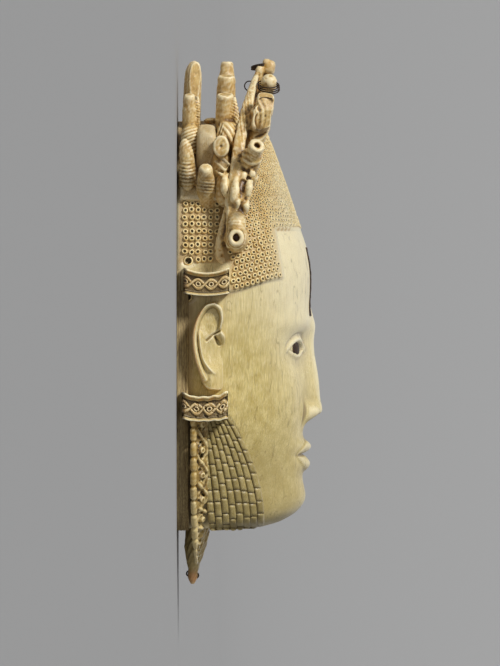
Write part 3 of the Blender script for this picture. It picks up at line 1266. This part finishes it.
def collar_shapes():
    """Openwork ribbon: a notched back rail, two strands that cross in a chain, and drilled bosses.

    The strands swing across the ribbon as opposite sines of the length, one over the other by turns."""
    middle, across, thick, along = collar_frames(280)
    loops = 8
    pitch = along[-1] / loops
    turns = math.pi * along / pitch
    one = []

    def lay(u, w, radius):
        """A rod along the ribbon, a part u of the way across it and w through it."""
        return tube(middle + across * u[:, None] + thick * w[:, None], radius)

    rng = np.random.default_rng(9)
    notch = np.abs(((along / 6.6) % 1) - 0.5) * 6.6
    block = 1.55 - 1.0 * np.exp(-(((notch - 3.3) / 0.5) ** 2))
    block = np.maximum(block * mix(1, 0.62, smooth(0.6, 0.74, np.linspace(0, 1, 280))), 0.6)
    ones = np.ones_like(along)
    one.append(lay(-0.86 * ones, 0.1 * ones, block))
    swing = 0.7 * np.sin(turns)
    over = 0.4 * np.cos(turns)
    one.append(lay(0.16 + swing, over, 0.8 + 0.2 * np.sin(along * 1.7)))
    one.append(lay(0.16 - swing, -over, 0.8 + 0.2 * np.sin(along * 1.3 + 2)))
    one.append(lay(-0.3 * ones, -0.5 * ones, 0.6 + 0.15 * np.sin(turns * 4)))
    one.append(lay(0.95 * ones, -0.1 * ones, 0.45 + 0.12 * np.sin(turns * 3)))
    one.append(lay(0.12 + 0.62 * np.sin(turns * 2 + 1.2), -0.6 * ones, 0.5 + 0.12 * np.sin(turns * 5)))
    for k in range(loops):
        i = np.argmin(np.abs(along - (k + 0.5) * pitch))
        c, w, side = middle[i] + across[i] * 0.16, thick[i], across[i]
        boss = [(0, 1.5), (0.9, 1.5), (1, 1.2), (1, 0.65), (0.5, 0.6), (0.5, 0.05)]
        one.append(turned(c - w * 0.9, c + w * 0.95, boss))
        for _ in range(20):
            j = np.clip(i + int(rng.uniform(-17, 17)), 1, 278)
            where = middle[j] + across[j] * rng.uniform(-0.5, 0.9) + thick[j] * rng.uniform(-0.5, 0.35)
            onwards = unit(middle[j + 1] - middle[j])
            reach = side * rng.uniform(-0.35, 0.35) + onwards * rng.uniform(-1.5, 1.5)
            one.append(tube(curve([where - reach, where + reach], 6), rng.uniform(0.34, 0.55), 7))
    t = np.linspace(0, 1, 46)
    tongue = curve(TIP[:, :3], len(t))
    radius = np.interp(t, np.linspace(0, 1, len(TIP)), TIP[:, 3])
    forms = [tube(tongue, radius + 0.25 * np.sin(t * 40), 20)]
    for turn in range(8):
        phase = turn * 0.79
        wind = np.stack([np.cos(t * 5 + phase) * 1.15, 0 * t, np.sin(t * 5 + phase)], -1)
        wind = wind * (radius * 0.95)[:, None]
        forms.append(tube(tongue + wind, 0.55 * smooth(1.0, 0.8, t) + 0.2, 7))
    spine = [(0, 27, 4.4), (0, 18, 3.9), (0, 12, 4.4), (0, 8, 5.4)]
    forms.append(tube(curve(spine, 20), 0.75, 8))
    forms.append(ball((0, 17.4, 3.6), (1.2, 0.8, 1.1), rows=8, cols=10))
    return [*forms, *both_sides(one)]


# Back plate


def plate_shape():
    """A flat outline that follows the head, with its edge stepped in thin layers of growth.

    Each ring is the outline moved in by its inset, at its height. The first and the last are drawn in
    further, and the loop closes between them."""
    n = 130
    y = np.linspace(25.4, 205, n)
    half = station(1, y) + 1.4 + 3.2 * (1 - smooth(60, 120, y)) - 2.6 * smooth(140, 150, y)
    outline = np.concatenate([np.stack([half, y], -1), np.stack([-half, y], -1)[::-1]])
    centre = np.array([0, 85.0])
    z = np.array([0.0, 0.0, 0.75, 0.85, 2.1, 2.25, 3.5, 3.7, 5.0, 5.3, 5.3])
    inset = np.array([14.0, 0.2, 0.1, 0.9, 0.2, 0.6, 0.3, 0.8, 0.6, 1.3, 14.0])
    normal = unit(np.stack([np.gradient(outline[:, 1]), -np.gradient(outline[:, 0])], -1))
    outwards = np.sign((normal * (outline - centre)).sum(1))[:, None] * normal
    low = smooth(149, 146, outline[:, 1])[None, :, None]
    rings = outline[None] - outwards[None] * np.minimum(inset, 1.4)[:, None, None] * mix(0.4, 1, low)
    z = np.minimum(z[:, None], mix(0.6, 9, low[0, :, 0])[None])
    keep = (inset > 5)[:, None, None]
    rings = np.where(keep, centre + (outline[None] - centre) * (0.84, 0.95), rings)
    points = np.concatenate([rings, np.broadcast_to(z, rings.shape[:2])[..., None]], -1)
    return grid(points[::-1], loop=True)


# Inlays and wires


def head_above(x, y, cut=1):
    """Points of the head above the places x, y. Six times, the angle moves by the miss over the width."""
    angle = np.arcsin(np.clip(x / station(1, y), -1, 1))
    for _ in range(6):
        angle = angle + (x - head_points(angle, y, cut=cut)[..., 0]) / station(1, y)
    return head_points(angle, y, cut=cut)


# The two sides of a forehead strip, and the radius of an iron pupil
STRIP_SIDES = (-8.8, -5.2)
PUPIL_RADIUS = 4.2


def strip_shape():
    """A thin iron strip that follows the brow's curve, a little proud, with rounded edges and pitting."""
    y = np.linspace(BROW + 4, HAIRLINE - 9, 70)[:, None]
    x = np.linspace(*STRIP_SIDES, 15)[None, :]
    top = head_above(x, y)
    edge = np.minimum(1, np.minimum(x - STRIP_SIDES[0], STRIP_SIDES[1] - x) / 0.5)
    top[..., 2] += 0.05 + 0.4 * np.sqrt(np.clip(edge, 0, 1)) + 0.1 * waves(top, 2.2, 31)
    low = top.copy()
    low[..., 2] -= 1.3
    return grid(np.concatenate([top, low[:, ::-1]], 1))


def pupil_shape():
    """An iron disc let into the eye: it follows the ball and passes under the lids."""
    radius = np.linspace(0, PUPIL_RADIUS, 14)[1:, None]
    angle = np.linspace(0, 2 * math.pi, 40, endpoint=False)[None, :]
    x = -EYE_WIDTH + radius * np.cos(angle)
    y = EYE_LINE - 0.3 + radius * np.sin(angle)
    y, x = np.broadcast_arrays(y, x)
    top = head_above(x, y, cut=0)
    edge = smooth(PUPIL_RADIUS - 0.6, PUPIL_RADIUS, np.broadcast_to(radius, x.shape))
    top[..., 2] -= 0.38 + 0.25 * edge
    low = top.copy()
    low[..., 2] -= 1.2
    return grid(np.concatenate([top, low[::-1]]))


def coil_shapes():
    """Three turns of wire round the neck of the front knob, a helix about the figure's line and a little
    uneven, and the wire's end bent to a thin loop behind."""
    a, b, d = basis((-0.42, 0.9, 0.05))
    t = np.linspace(0, 3.15, 190)[:, None]
    wide = 4.8 + 0.2 * np.sin(t * 7)
    ring = np.cos(t * 2 * math.pi) * wide * a + np.sin(t * 2 * math.pi) * wide * b
    path = np.array([-20.0, 224.0, 41.1]) + d * t + ring
    loop = ring_wire((-12, 225.9, 32.6), (1, 0.1, 0.15), 2.2, 0.28)
    return [tube(path, 0.31, 8), loop]


def ring_wire(centre, axis, radius, thick):
    """A loose ring of wire: a circle about an axis."""
    a, b, _ = basis(axis)
    t = np.linspace(0, 2 * math.pi, 60, endpoint=False)[:, None]
    return tube(np.asarray(centre) + (np.cos(t) * a + np.sin(t) * b) * radius, thick, 8, loop=True)


# Materials


def linear(code):
    """An sRGB hex colour as linear RGBA."""
    channels = [int(code[i:i + 2], 16) / 255 for i in (1, 3, 5)]
    return (*[c / 12.92 if c <= 0.04045 else ((c + 0.055) / 1.055) ** 2.4 for c in channels], 1.0)


def add(tree, kind, inputs=(), output=0, **settings):
    """Adds a node with its settings, links or sets its inputs by name or number, and gives one output."""
    node = tree.nodes.new(kind)
    for key, value in settings.items():
        setattr(node, key, value)
    for key, value in dict(inputs).items():
        if isinstance(value, bpy.types.NodeSocket):
            tree.links.new(value, node.inputs[key])
        else:
            node.inputs[key].default_value = value
    return node.outputs[output] if node.outputs else None


def material(name):
    """A new material with an empty node tree."""
    made = bpy.data.materials.new(name)
    made.use_nodes = True
    tree = made.node_tree
    tree.nodes.clear()
    return made, tree


def grains(tree, table):
    """Noise for each grain of a table, whose features are about a size in mm along each axis."""
    where = add(tree, "ShaderNodeTexCoord", output="Object")
    found = []
    for size, detail, roughness, output in table:
        scale = [1 / (s * MM) for s in size]
        at = add(tree, "ShaderNodeMapping", {"Vector": where, "Scale": scale})
        settings = {"Vector": at, "Detail": detail, "Roughness": roughness}
        found.append(add(tree, "ShaderNodeTexNoise", settings, output))
    return found


def painted(tree, base, layers):
    """Colours laid over a base in turn. Each layer is a field, the values at which it starts and is full,
    its colour, how much of it shows, and for some a second field that thins it."""
    for field, low, high, colour, amount, *thinner in layers:
        shown = add(tree, "ShaderNodeMapRange", {0: field, 1: low, 2: high, 4: amount})
        for other in thinner:
            shown = add(tree, "ShaderNodeMath", {0: shown, 1: other}, operation="MULTIPLY")
        base = add(tree, "ShaderNodeMix", {0: shown, 6: base, 7: linear(colour)}, 2, data_type="RGBA")
    return base


def finished(tree, height, strength, depth, inputs):
    """The shader that ends a tree, with a bump of a depth in mm from a field of heights."""
    bump = add(tree, "ShaderNodeBump", {"Height": height, "Strength": strength, "Distance": depth * MM})
    shader = add(tree, "ShaderNodeBsdfPrincipled", {"Normal": bump, **inputs})
    add(tree, "ShaderNodeOutputMaterial", {"Surface": shader})


# Size in mm along each axis, detail, roughness and output of the ivory's clouds, specks, growth lines and
# streaks. Growth lines are about 0.2 mm apart: too fine to show, so they are drawn 0.7 mm apart
IVORY_GRAINS = (
    ((24, 30, 24), 4.0, 0.5, 0),
    ((1.2, 2.6, 1.2), 5.0, 0.7, 0),
    ((0.7, 26, 0.7), 2.0, 0.6, 0),
    ((2.2, 60, 2.2), 2.0, 0.5, 0),
)
# The same for the bends of the age cracks, as a colour, and for the places that have them
CRACK_GRAINS = (
    ((20, 60, 20), 1.0, 0.5, 1),
    ((9, 60, 9), 1.0, 0.5, 0),
)
CRACK_SPACING = (5.5, 150, 5.5)


def age_cracks(tree, amount):
    """Cracks along the grain, as the borders of long cells whose places are bent by a soft noise.

    They are a tenth of a millimetre wide, drawn 0.25 mm wide so that they show."""
    bends, places = grains(tree, CRACK_GRAINS)
    where = add(tree, "ShaderNodeTexCoord", output="Object")
    scale = [1 / (s * MM) for s in CRACK_SPACING]
    cells = add(tree, "ShaderNodeMapping", {"Vector": where, "Scale": scale})
    bent = add(tree, "ShaderNodeVectorMath", {0: bends, 1: (1.6, 0.3, 1.6)}, operation="MULTIPLY")
    moved = add(tree, "ShaderNodeVectorMath", {0: cells, 1: bent}, operation="ADD")
    border = add(tree, "ShaderNodeTexVoronoi", {"Vector": moved, "Scale": 1.0}, "Distance",
                 feature="DISTANCE_TO_EDGE")
    narrow = add(tree, "ShaderNodeMapRange", {0: border, 1: 0.0, 2: 0.045, 3: 1.0, 4: 0.0})
    kept = add(tree, "ShaderNodeMapRange", {0: places, 1: 0.45, 2: 0.6})
    shown = add(tree, "ShaderNodeMath", {0: narrow, 1: kept}, operation="MULTIPLY")
    return add(tree, "ShaderNodeMath", {0: shown, 1: amount}, operation="MULTIPLY")


def ivory(
    name, light, deep, patina, grime, worn="#F2E8C8", edge=0.45, dirt=1.0, grain=1.0, cracks=0, extra=()
):
    """Old elephant ivory, carved and handled: close straight grain along the tusk, yellow and olive
    clouds, a brown patina in every recess, paler rubbed ridges and dark age cracks along the grain.

    Each extra is a point value, the range over which it comes in, a colour and how much of it."""
    made, tree = material(name)
    clouds, specks, lines, streaks = grains(tree, IVORY_GRAINS)
    near = add(tree, "ShaderNodeAttribute", output="Fac", attribute_name="recess")
    far = add(tree, "ShaderNodeAttribute", output="Fac", attribute_name="hollow")
    uneven = add(tree, "ShaderNodeMapRange", {0: specks, 1: 0.35, 2: 0.6, 3: 0.55, 4: 1.0})
    layers = [
        (clouds, 0.36, 0.64, deep, 1.0),
        (streaks, 0.42, 0.62, patina, 0.4 * grain),
        (lines, 0.5, 0.64, patina, 0.55 * grain),
        (lines, 0.46, 0.34, worn, 0.4 * grain),
        (specks, 0.56, 0.7, patina, 0.3 * dirt),
        (near, -0.02, -0.16, worn, edge),
        (far, 0.05, 1.0, patina, 0.85 * dirt),
        (near, 0.015, 0.17, grime, 0.95, uneven),
    ]
    for key, *layer in extra:
        value = add(tree, "ShaderNodeAttribute", output="Fac", attribute_name=key)
        layers.append((value, *layer, uneven))
    base = painted(tree, linear(light), layers)
    height = add(tree, "ShaderNodeMath", {0: lines, 1: 0.35}, operation="MULTIPLY")
    if cracks:
        shown = age_cracks(tree, cracks)
        base = add(tree, "ShaderNodeMix", {0: shown, 6: base, 7: linear("#6A5428")}, 2, data_type="RGBA")
        height = add(tree, "ShaderNodeMath", {0: height, 1: shown}, operation="SUBTRACT")
    finished(tree, height, 0.3, 0.3, {
        "Base Color": base,
        "Roughness": add(tree, "ShaderNodeMapRange", {0: specks, 1: 0.3, 2: 0.7, 3: 0.33, 4: 0.52}),
        "IOR": 1.5,
        "Subsurface Weight": 0.06,
        "Subsurface Radius": (0.0016, 0.001, 0.0005),
        "Subsurface Scale": 1.0,
    })
    return made


def head_ivory():
    """Polished face, brown ground between the curls, dirt round the ear, and a rougher hollow behind."""
    tones = ("#DECB88", "#C6B16A", "#A48E4C", "#6E5526")
    return ivory("carved_ivory_polished", *tones, cracks=0.38, dirt=0.5, extra=(
        ("cream", 0.0, 1.0, "#EFE5C6", 0.8),
        ("olive", 0.0, 1.0, "#9C8A58", 0.6),
        ("hair", 0.2, 0.9, "#A8844A", 0.85),
        ("dirt", 0.0, 1.0, "#A88C5C", 0.9),
        ("soot", 0.2, 0.9, "#3A2A14", 0.9),
        ("stain", 0.2, 0.9, "#A8781E", 0.8),
        ("cave", 0.2, 0.8, "#A08452", 0.9),
    ))


def curl_ivory():
    """The drilled curls: warm tops, rubbed pale where the cap is handled, and holes packed with grime."""
    tones = ("#FAE6AE", "#E6C988", "#CCA660", "#9A7436")
    return ivory("carved_ivory_curls", *tones, edge=0.2, grain=0.5, extra=(
        ("worn", 0.2, 0.65, "#DCCFAA", 0.85),
        ("hole", 0.12, 0.7, "#1E1206", 1.0),
    ))


def ear_ivory():
    """Ears: thin polished rims stained orange by handling."""
    tones = ("#E2CF96", "#CDB878", "#B09858", "#5E4824")
    return ivory("carved_ivory_ears", *tones, edge=0.7, dirt=0.35, extra=(
        ("stain", 0.3, 0.9, "#CC9238", 0.75),
    ))


def flange_ivory():
    """Flanges: raised strands rubbed bright over a ground packed with brown dirt."""
    tones = ("#E6CE8C", "#CBAD66", "#7A5828", "#2C1A0A")
    return ivory("carved_ivory_flanges", *tones, worn="#FFF4CE", edge=0.9, extra=(
        ("ground", 0.3, 0.9, "#3E260E", 0.9),
        ("stain", 0.3, 0.9, "#D09238", 0.75),
    ))


def bead_ivory():
    """Bead strands: duller olive-tan ivory with thin brown joints between the beads."""
    tones = ("#B6A368", "#9E8C52", "#806E3C", "#443214")
    return ivory("carved_ivory_beads", *tones, edge=0.15, grain=0.8, extra=(
        ("tone", 0.0, 1.0, "#8A7846", 0.6),
        ("joint", 0.45, 0.85, "#38280F", 0.95),
    ))


def crest_ivory():
    """Crest figures: warm tan ivory, bright on every ridge, with reddish brown patina between them."""
    tones = ("#E2C27C", "#C69F5C", "#845826", "#341C08")
    return ivory("carved_ivory_crest", *tones, worn="#F8E9BE", edge=0.8, grain=0.6, extra=(
        ("stain", 0.15, 0.9, "#BC8C34", 0.7),
        ("black", 0.1, 0.9, "#3E260E", 0.8),
    ))


def block_ivory():
    """The smooth block between the rows: plainer and less stained than the figures."""
    return ivory("carved_ivory_block", "#D2BA84", "#BEA26A", "#9A7A46", "#5E401C", edge=0.3, dirt=0.5)


def collar_ivory():
    """Collar: worn openwork, pale on its high points and packed with dark dirt."""
    tones = ("#BC9F5C", "#8E7036", "#573C1A", "#170D05")
    return ivory("carved_ivory_collar", *tones, worn="#F0DDA6", edge=0.8, dirt=1.1, grain=0.5, extra=(
        ("stain", 0.15, 0.8, "#BE9430", 0.6),
        ("pale", 0.1, 0.8, "#DCC68A", 0.85),
        ("orange", 0.1, 0.9, "#CE8A58", 0.8),
    ))


def bark(name):
    """The tusk's outer bark left on the back edge: dark brown, in growth layers about 1 mm apart."""
    made, tree = material(name)
    layer, grit = grains(tree, (((30, 70, 0.8), 4.0, 0.5, 0), ((2, 12, 1.4), 5.0, 0.5, 0)))
    base = painted(tree, linear("#806A44"), [
        (layer, 0.36, 0.64, "#C2AC78", 1.0),
        (grit, 0.45, 0.65, "#5E492E", 0.7),
    ])
    finished(tree, grit, 0.4, 0.4, {"Base Color": base, "Roughness": 0.55})
    return made


def iron(name, dark, rust, amount):
    """Old forged iron: near black with patches of brown rust a few mm wide, dull and slightly pitted."""
    made, tree = material(name)
    patch, = grains(tree, (((2.4, 3.2, 2.4), 6.0, 0.5, 0),))
    finished(tree, patch, 0.5, 0.3, {
        "Base Color": painted(tree, linear(dark), [(patch, 0.42, 0.62, rust, amount)]),
        "Metallic": add(tree, "ShaderNodeMapRange", {0: patch, 1: 0.42, 2: 0.62, 3: 0.85, 4: 0.2}),
        "Roughness": add(tree, "ShaderNodeMapRange", {0: patch, 1: 0.4, 2: 0.65, 3: 0.45, 4: 0.8}),
    })
    return made


# Settings


class MaskSizes(bpy.types.PropertyGroup):
    """Sizes that a carver would change."""

    curl_pitch: bpy.props.FloatProperty(
        name="Curl pitch", description="Distance between curls beside the ear",
        default=0.00283, unit="LENGTH")
    curl_relief: bpy.props.FloatProperty(
        name="Curl relief", description="Height of a curl above the cap",
        default=0.00125, unit="LENGTH")
    bead_length: bpy.props.FloatProperty(
        name="Bead length", description="Usual length of a bead",
        default=0.0057, unit="LENGTH")
    bead_relief: bpy.props.FloatProperty(
        name="Bead relief", description="Height of a bead above the head",
        default=0.0015, unit="LENGTH")
    crest_grain: bpy.props.FloatProperty(
        name="Crest grain", description="Size of the cells the crest is fused in",
        default=0.0005, unit="LENGTH")
    camera_distance: bpy.props.FloatProperty(
        name="Camera distance", description="From the camera to the mask's middle",
        default=4.0, unit="LENGTH")


class MaskColours(bpy.types.PropertyGroup):
    """Colours of the studio."""

    floor: bpy.props.FloatVectorProperty(
        name="Floor", description="Colour of the seamless floor", subtype="COLOR", size=3,
        default=linear("#A0A0A0")[:3])
    sky: bpy.props.FloatVectorProperty(
        name="Fill", description="Colour of the even light from all round", subtype="COLOR", size=3,
        default=linear("#F4F4F6")[:3])


# Operators


class MASK_OT_head(bpy.types.Operator):
    """Carve the head with its face and the hollow behind it."""

    bl_idname = "mask.head"
    bl_label = "Head"

    def execute(self, context):
        obj = mesh_object("head", head_shape())
        shade_recesses(obj, 3, 30)
        place(obj, "ivory", head_ivory(), "ivory_mask")
        return {"FINISHED"}


class MASK_OT_curls(bpy.types.Operator):
    """Drill the cap of curls."""

    bl_idname = "mask.curls"
    bl_label = "Curls"

    def execute(self, context):
        sizes = context.scene.mask_sizes
        colours = curl_ivory()
        curls = mesh_object("curls", curl_shapes(sizes.curl_pitch / MM, sizes.curl_relief / MM))
        place(curls, "ivory", colours, "ivory_mask")
        place(mesh_object("cord_holes", joined(cord_hole_shapes())), "ivory", colours, "ivory_mask")
        return {"FINISHED"}


class MASK_OT_ears(bpy.types.Operator):
    """Carve both ears."""

    bl_idname = "mask.ears"
    bl_label = "Ears"

    def execute(self, context):
        colours = ear_ivory()
        for side, shape in right_and_left(ear_shape()):
            obj = mesh_object(f"ear_{side}", shape)
            shade_recesses(obj, 3, 20)
            place(obj, "ivory", colours, "ivory_mask")
        return {"FINISHED"}


class MASK_OT_flanges(bpy.types.Operator):
    """Carve the patterned flanges above and below the ears."""

    bl_idname = "mask.flanges"
    bl_label = "Flanges"

    def execute(self, context):
        colours = flange_ivory()
        for name, flange in FLANGES.items():
            for side, shape in right_and_left(flange_shape(**flange)):
                obj = mesh_object(f"{name}_flange_{side}", shape)
                shade_recesses(obj, 3, 16)
                place(obj, "ivory", colours, "ivory_mask")
        return {"FINISHED"}


class MASK_OT_beads(bpy.types.Operator):
    """Carve the strands of beads beside the jaw."""

    bl_idname = "mask.beads"
    bl_label = "Bead strands"

    def execute(self, context):
        sizes = context.scene.mask_sizes
        fringe = bead_shape(sizes.bead_length / MM, sizes.bead_relief / MM)
        colours = bead_ivory()
        for side, shape in right_and_left(fringe):
            obj = mesh_object(f"beads_{side}", shape)
            shade_recesses(obj, 2, 10)
            place(obj, "ivory", colours, "ivory_mask")
        return {"FINISHED"}


class MASK_OT_crest(bpy.types.Operator):
    """Carve the block over the skull and the three rows of the crest."""

    bl_idname = "mask.crest"
    bl_label = "Crest"

    def execute(self, context):
        cell = context.scene.mask_sizes.crest_grain / MM
        figures = crest_ivory()
        panel = ball((-35.2, 196.6, 13.4), (8.4, 4.7, 10.6), (-0.42, 1, 0), 0.45)
        block = [fan_band(49, 50.5, 174, 12.6, 23.0, 0.77), *both_sides([panel])]
        for name, shapes, coarse, seed, finish, grooves, facets in (
            ("crest_block", block, 1.8, 31, block_ivory(), (), ()),
            ("crest_back_row", back_row(), 1.05, 41, figures, BACK_GROOVES, BACK_FACETS),
            ("crest_middle_row", middle_row(), 1.05, 51, figures, MIDDLE_GROOVES, ()),
            ("crest_front_row", front_row(), 1.2, 57, figures, FRONT_GROOVES, FRONT_FACETS),
        ):
            obj = carve_as_one(name, shapes, cell * coarse, 0.4, seed, grooves, facets)
            shade_recesses(obj, 4, 40)
            stain_spots(obj, "stain", STAINS)
            stain_spots(obj, "black", GRIME)
            place(obj, "ivory", finish, "ivory_mask")
        sheet = mesh_object("crest_back_sheet", fan_band(49.6, 50, 194, 0.55, 1.0, 0.8))
        place(sheet, "ivory", bark("tusk_bark_thin"), "ivory_mask")
        return {"FINISHED"}


class MASK_OT_collar(bpy.types.Operator):
    """Carve the openwork collar and the back plate."""

    bl_idname = "mask.collar"
    bl_label = "Collar"

    def execute(self, context):
        obj = carve_as_one("collar", collar_shapes(), COLLAR_CELL, 0.35, 77)
        shade_recesses(obj, 3, 24)
        stain_spots(obj, "stain", [(y, 7.0, 2.4, 0.8) for y in range(46, 78, 4)])
        stain_spots(obj, "pale", [(y, 8.0, 6.0, 0.9) for y in range(10, 29, 6)])
        stain_spots(obj, "orange", [(3.5, 7.0, 3.4, 1.0)])
        place(obj, "ivory", collar_ivory(), "ivory_mask")
        place(mesh_object("back_plate", plate_shape()), "ivory", bark("tusk_bark"), "ivory_mask")
        return {"FINISHED"}


class MASK_OT_metal(bpy.types.Operator):
    """Let in the iron and wind the wires."""

    bl_idname = "mask.metal"
    bl_label = "Iron and wire"

    def execute(self, context):
        rusty = iron("forged_iron_rusted", "#2A2420", "#5A3B22", 0.8)
        for part, shape in (("forehead_inlay", strip_shape()), ("pupil_inlay", pupil_shape())):
            for side, form in right_and_left(shape):
                place(mesh_object(f"{part}_metal_{side}", form), "iron", rusty, f"{part}_{side}")
        dark = iron("drawn_wire_corroded", "#332A24", "#5A4630", 0.6)
        place(mesh_object("wire_coil", joined(coil_shapes())), "wire", dark, "crest_wire_coil")
        band = [ring_wire((0, 235.0 + s, 38.0), (0.12, 1, -0.16), 4.4, 0.45) for s in (-0.4, 0.4)]
        place(mesh_object("wire_band", joined(band)), "wire", dark, "crest_wire_band")
        ring = [
            ring_wire((0, 4.4, 8.2), (1, 0.15, 0.1), 1.35, 0.34),
            ring_wire((0, 5.2, 5.3), (1, 0.1, 0.2), 1.2, 0.34),
        ]
        place(mesh_object("wire_tip", joined(ring)), "wire", dark, "tip_wire")
        return {"FINISHED"}


class MASK_OT_stage(bpy.types.Operator):
    """Set the seamless floor, the soft lights and the camera."""

    bl_idname = "mask.stage"
    bl_label = "Stage"

    def execute(self, context):
        colours = context.scene.mask_colours
        context.scene.view_settings.view_transform = "Standard"
        make_floor(colours.floor)
        make_lights(context, colours.sky)
        make_camera(context, context.scene.mask_sizes.camera_distance)
        return {"FINISHED"}


# Stage


# The floor's flat radius, the radius of its bend and the height of its rim, in metres
FLOOR_FLAT = 5.3
FLOOR_BEND = 3.2
FLOOR_RIM = 1.3
FLOOR_SPOKES = 128

# Each lamp's name, the way towards it, its width in degrees and its power
SUNS = (
    ("key", (-0.53, 0.58, 0.57), 12, 3.05),
    ("fill", (-0.8, -0.3, 0.2), 60, 0.3),
    ("rim", (0.7, -0.1, 0.5), 50, 0.4),
)
SKY_STRENGTH = 0.18

# The picture's size in pixels, the mask's height in it, and where its flat back and its tip are
PICTURE = (500, 666)
MASK_PIXELS = 525
BACK_COLUMN = 177.5
TIP_ROW = 585


def make_floor(colour):
    """A flat round floor whose rim turns up in one sweep to a low wall, with no edge in sight."""
    turn = np.linspace(0.02, math.acos(1 - FLOOR_RIM / FLOOR_BEND), 40)
    radius = np.concatenate([np.linspace(0.02, FLOOR_FLAT, 30), FLOOR_FLAT + FLOOR_BEND * np.sin(turn)])
    height = np.concatenate([np.zeros(30), FLOOR_BEND * (1 - np.cos(turn))])
    radius = radius[:, None]
    height = height[:, None]
    angle = np.linspace(0, 2 * math.pi, FLOOR_SPOKES, endpoint=False)
    sides = [radius * np.cos(angle), radius * np.sin(angle) - LOW.y, height + 0 * angle]
    points = np.stack(sides, -1) / MM
    index = np.arange(len(radius) * FLOOR_SPOKES).reshape(-1, FLOOR_SPOKES)
    index = np.concatenate([index, index[:, :1]], 1)
    quads = np.stack([index[:-1, :-1], index[1:, :-1], index[1:, 1:], index[:-1, 1:]], -1).reshape(-1, 4)
    floor = mesh_object("floor", Shape(points, [quads, index[:1, :-1]]))
    made, tree = material("painted_studio_floor")
    shader = add(tree, "ShaderNodeBsdfPrincipled", {"Base Color": (*colour, 1), "Roughness": 0.95})
    add(tree, "ShaderNodeOutputMaterial", {"Surface": shader})
    floor.data.materials.append(made)


def make_lights(context, sky):
    """A soft key from beyond the crest and in front of the face, two weaker lamps and an even sky."""
    world = bpy.data.worlds.new("studio")
    world.use_nodes = True
    background = world.node_tree.nodes["Background"]
    background.inputs["Color"].default_value = (*sky, 1)
    background.inputs["Strength"].default_value = SKY_STRENGTH
    context.scene.world = world
    for name, towards, wide, power in SUNS:
        data = bpy.data.lights.new(name, "SUN")
        data.angle = math.radians(wide)
        data.energy = power
        lamp = bpy.data.objects.new(name, data)
        lamp.location = Vector(towards) * 3
        lamp.rotation_euler = Vector(towards).to_track_quat("Z", "Y").to_euler()
        context.scene.collection.objects.link(lamp)


def make_camera(context, distance):
    """Exact profile from the mask's own right: the crest is up in the picture, the face to the right."""
    per_pixel = HEIGHT / MASK_PIXELS * MM
    z = (PICTURE[0] / 2 - BACK_COLUMN) * per_pixel
    y = (TIP_ROW - PICTURE[1] / 2) * per_pixel + LOW.y
    data = bpy.data.cameras.new("camera")
    data.sensor_width = 36
    data.lens = data.sensor_width * distance / (PICTURE[1] * per_pixel)
    data.clip_start = 0.05
    camera = bpy.data.objects.new("camera", data)
    right = Vector((0, 0, 1))
    up = Vector((0, 1, 0))
    back = Vector((-1, 0, 0))
    turn = Matrix((right, up, back)).transposed().to_4x4()
    camera.matrix_world = Matrix.Translation((-distance, y, z)) @ turn
    context.scene.collection.objects.link(camera)
    context.scene.camera = camera


# Panel and registration


class MASK_PT_panel(bpy.types.Panel):
    """Lists the mask's settings and its pieces."""

    bl_idname = "MASK_PT_panel"
    bl_label = "Ivory mask"
    bl_space_type = "VIEW_3D"
    bl_region_type = "UI"
    bl_category = "Mask"

    def draw(self, context):
        for group in (context.scene.mask_sizes, context.scene.mask_colours):
            for key in group.__annotations__:
                self.layout.prop(group, key)
        for name in STEPS:
            self.layout.operator(f"mask.{name}")


STEPS = ("head", "curls", "ears", "flanges", "beads", "crest", "collar", "metal", "stage")
CLASSES = (
    MaskSizes, MaskColours, MASK_OT_head, MASK_OT_curls, MASK_OT_ears, MASK_OT_flanges, MASK_OT_beads,
    MASK_OT_crest, MASK_OT_collar, MASK_OT_metal, MASK_OT_stage, MASK_PT_panel,
)


def register():
    """Adds the settings, the operators and the panel."""
    for cls in CLASSES:
        bpy.utils.register_class(cls)
    bpy.types.Scene.mask_sizes = bpy.props.PointerProperty(type=MaskSizes)
    bpy.types.Scene.mask_colours = bpy.props.PointerProperty(type=MaskColours)


def unregister():
    """Takes them away again."""
    del bpy.types.Scene.mask_colours
    del bpy.types.Scene.mask_sizes
    for cls in reversed(CLASSES):
        bpy.utils.unregister_class(cls)


def main():
    """Builds every piece in order."""
    register()
    for name in STEPS:
        getattr(bpy.ops.mask, name)()


if __name__ == "__main__":
    main()
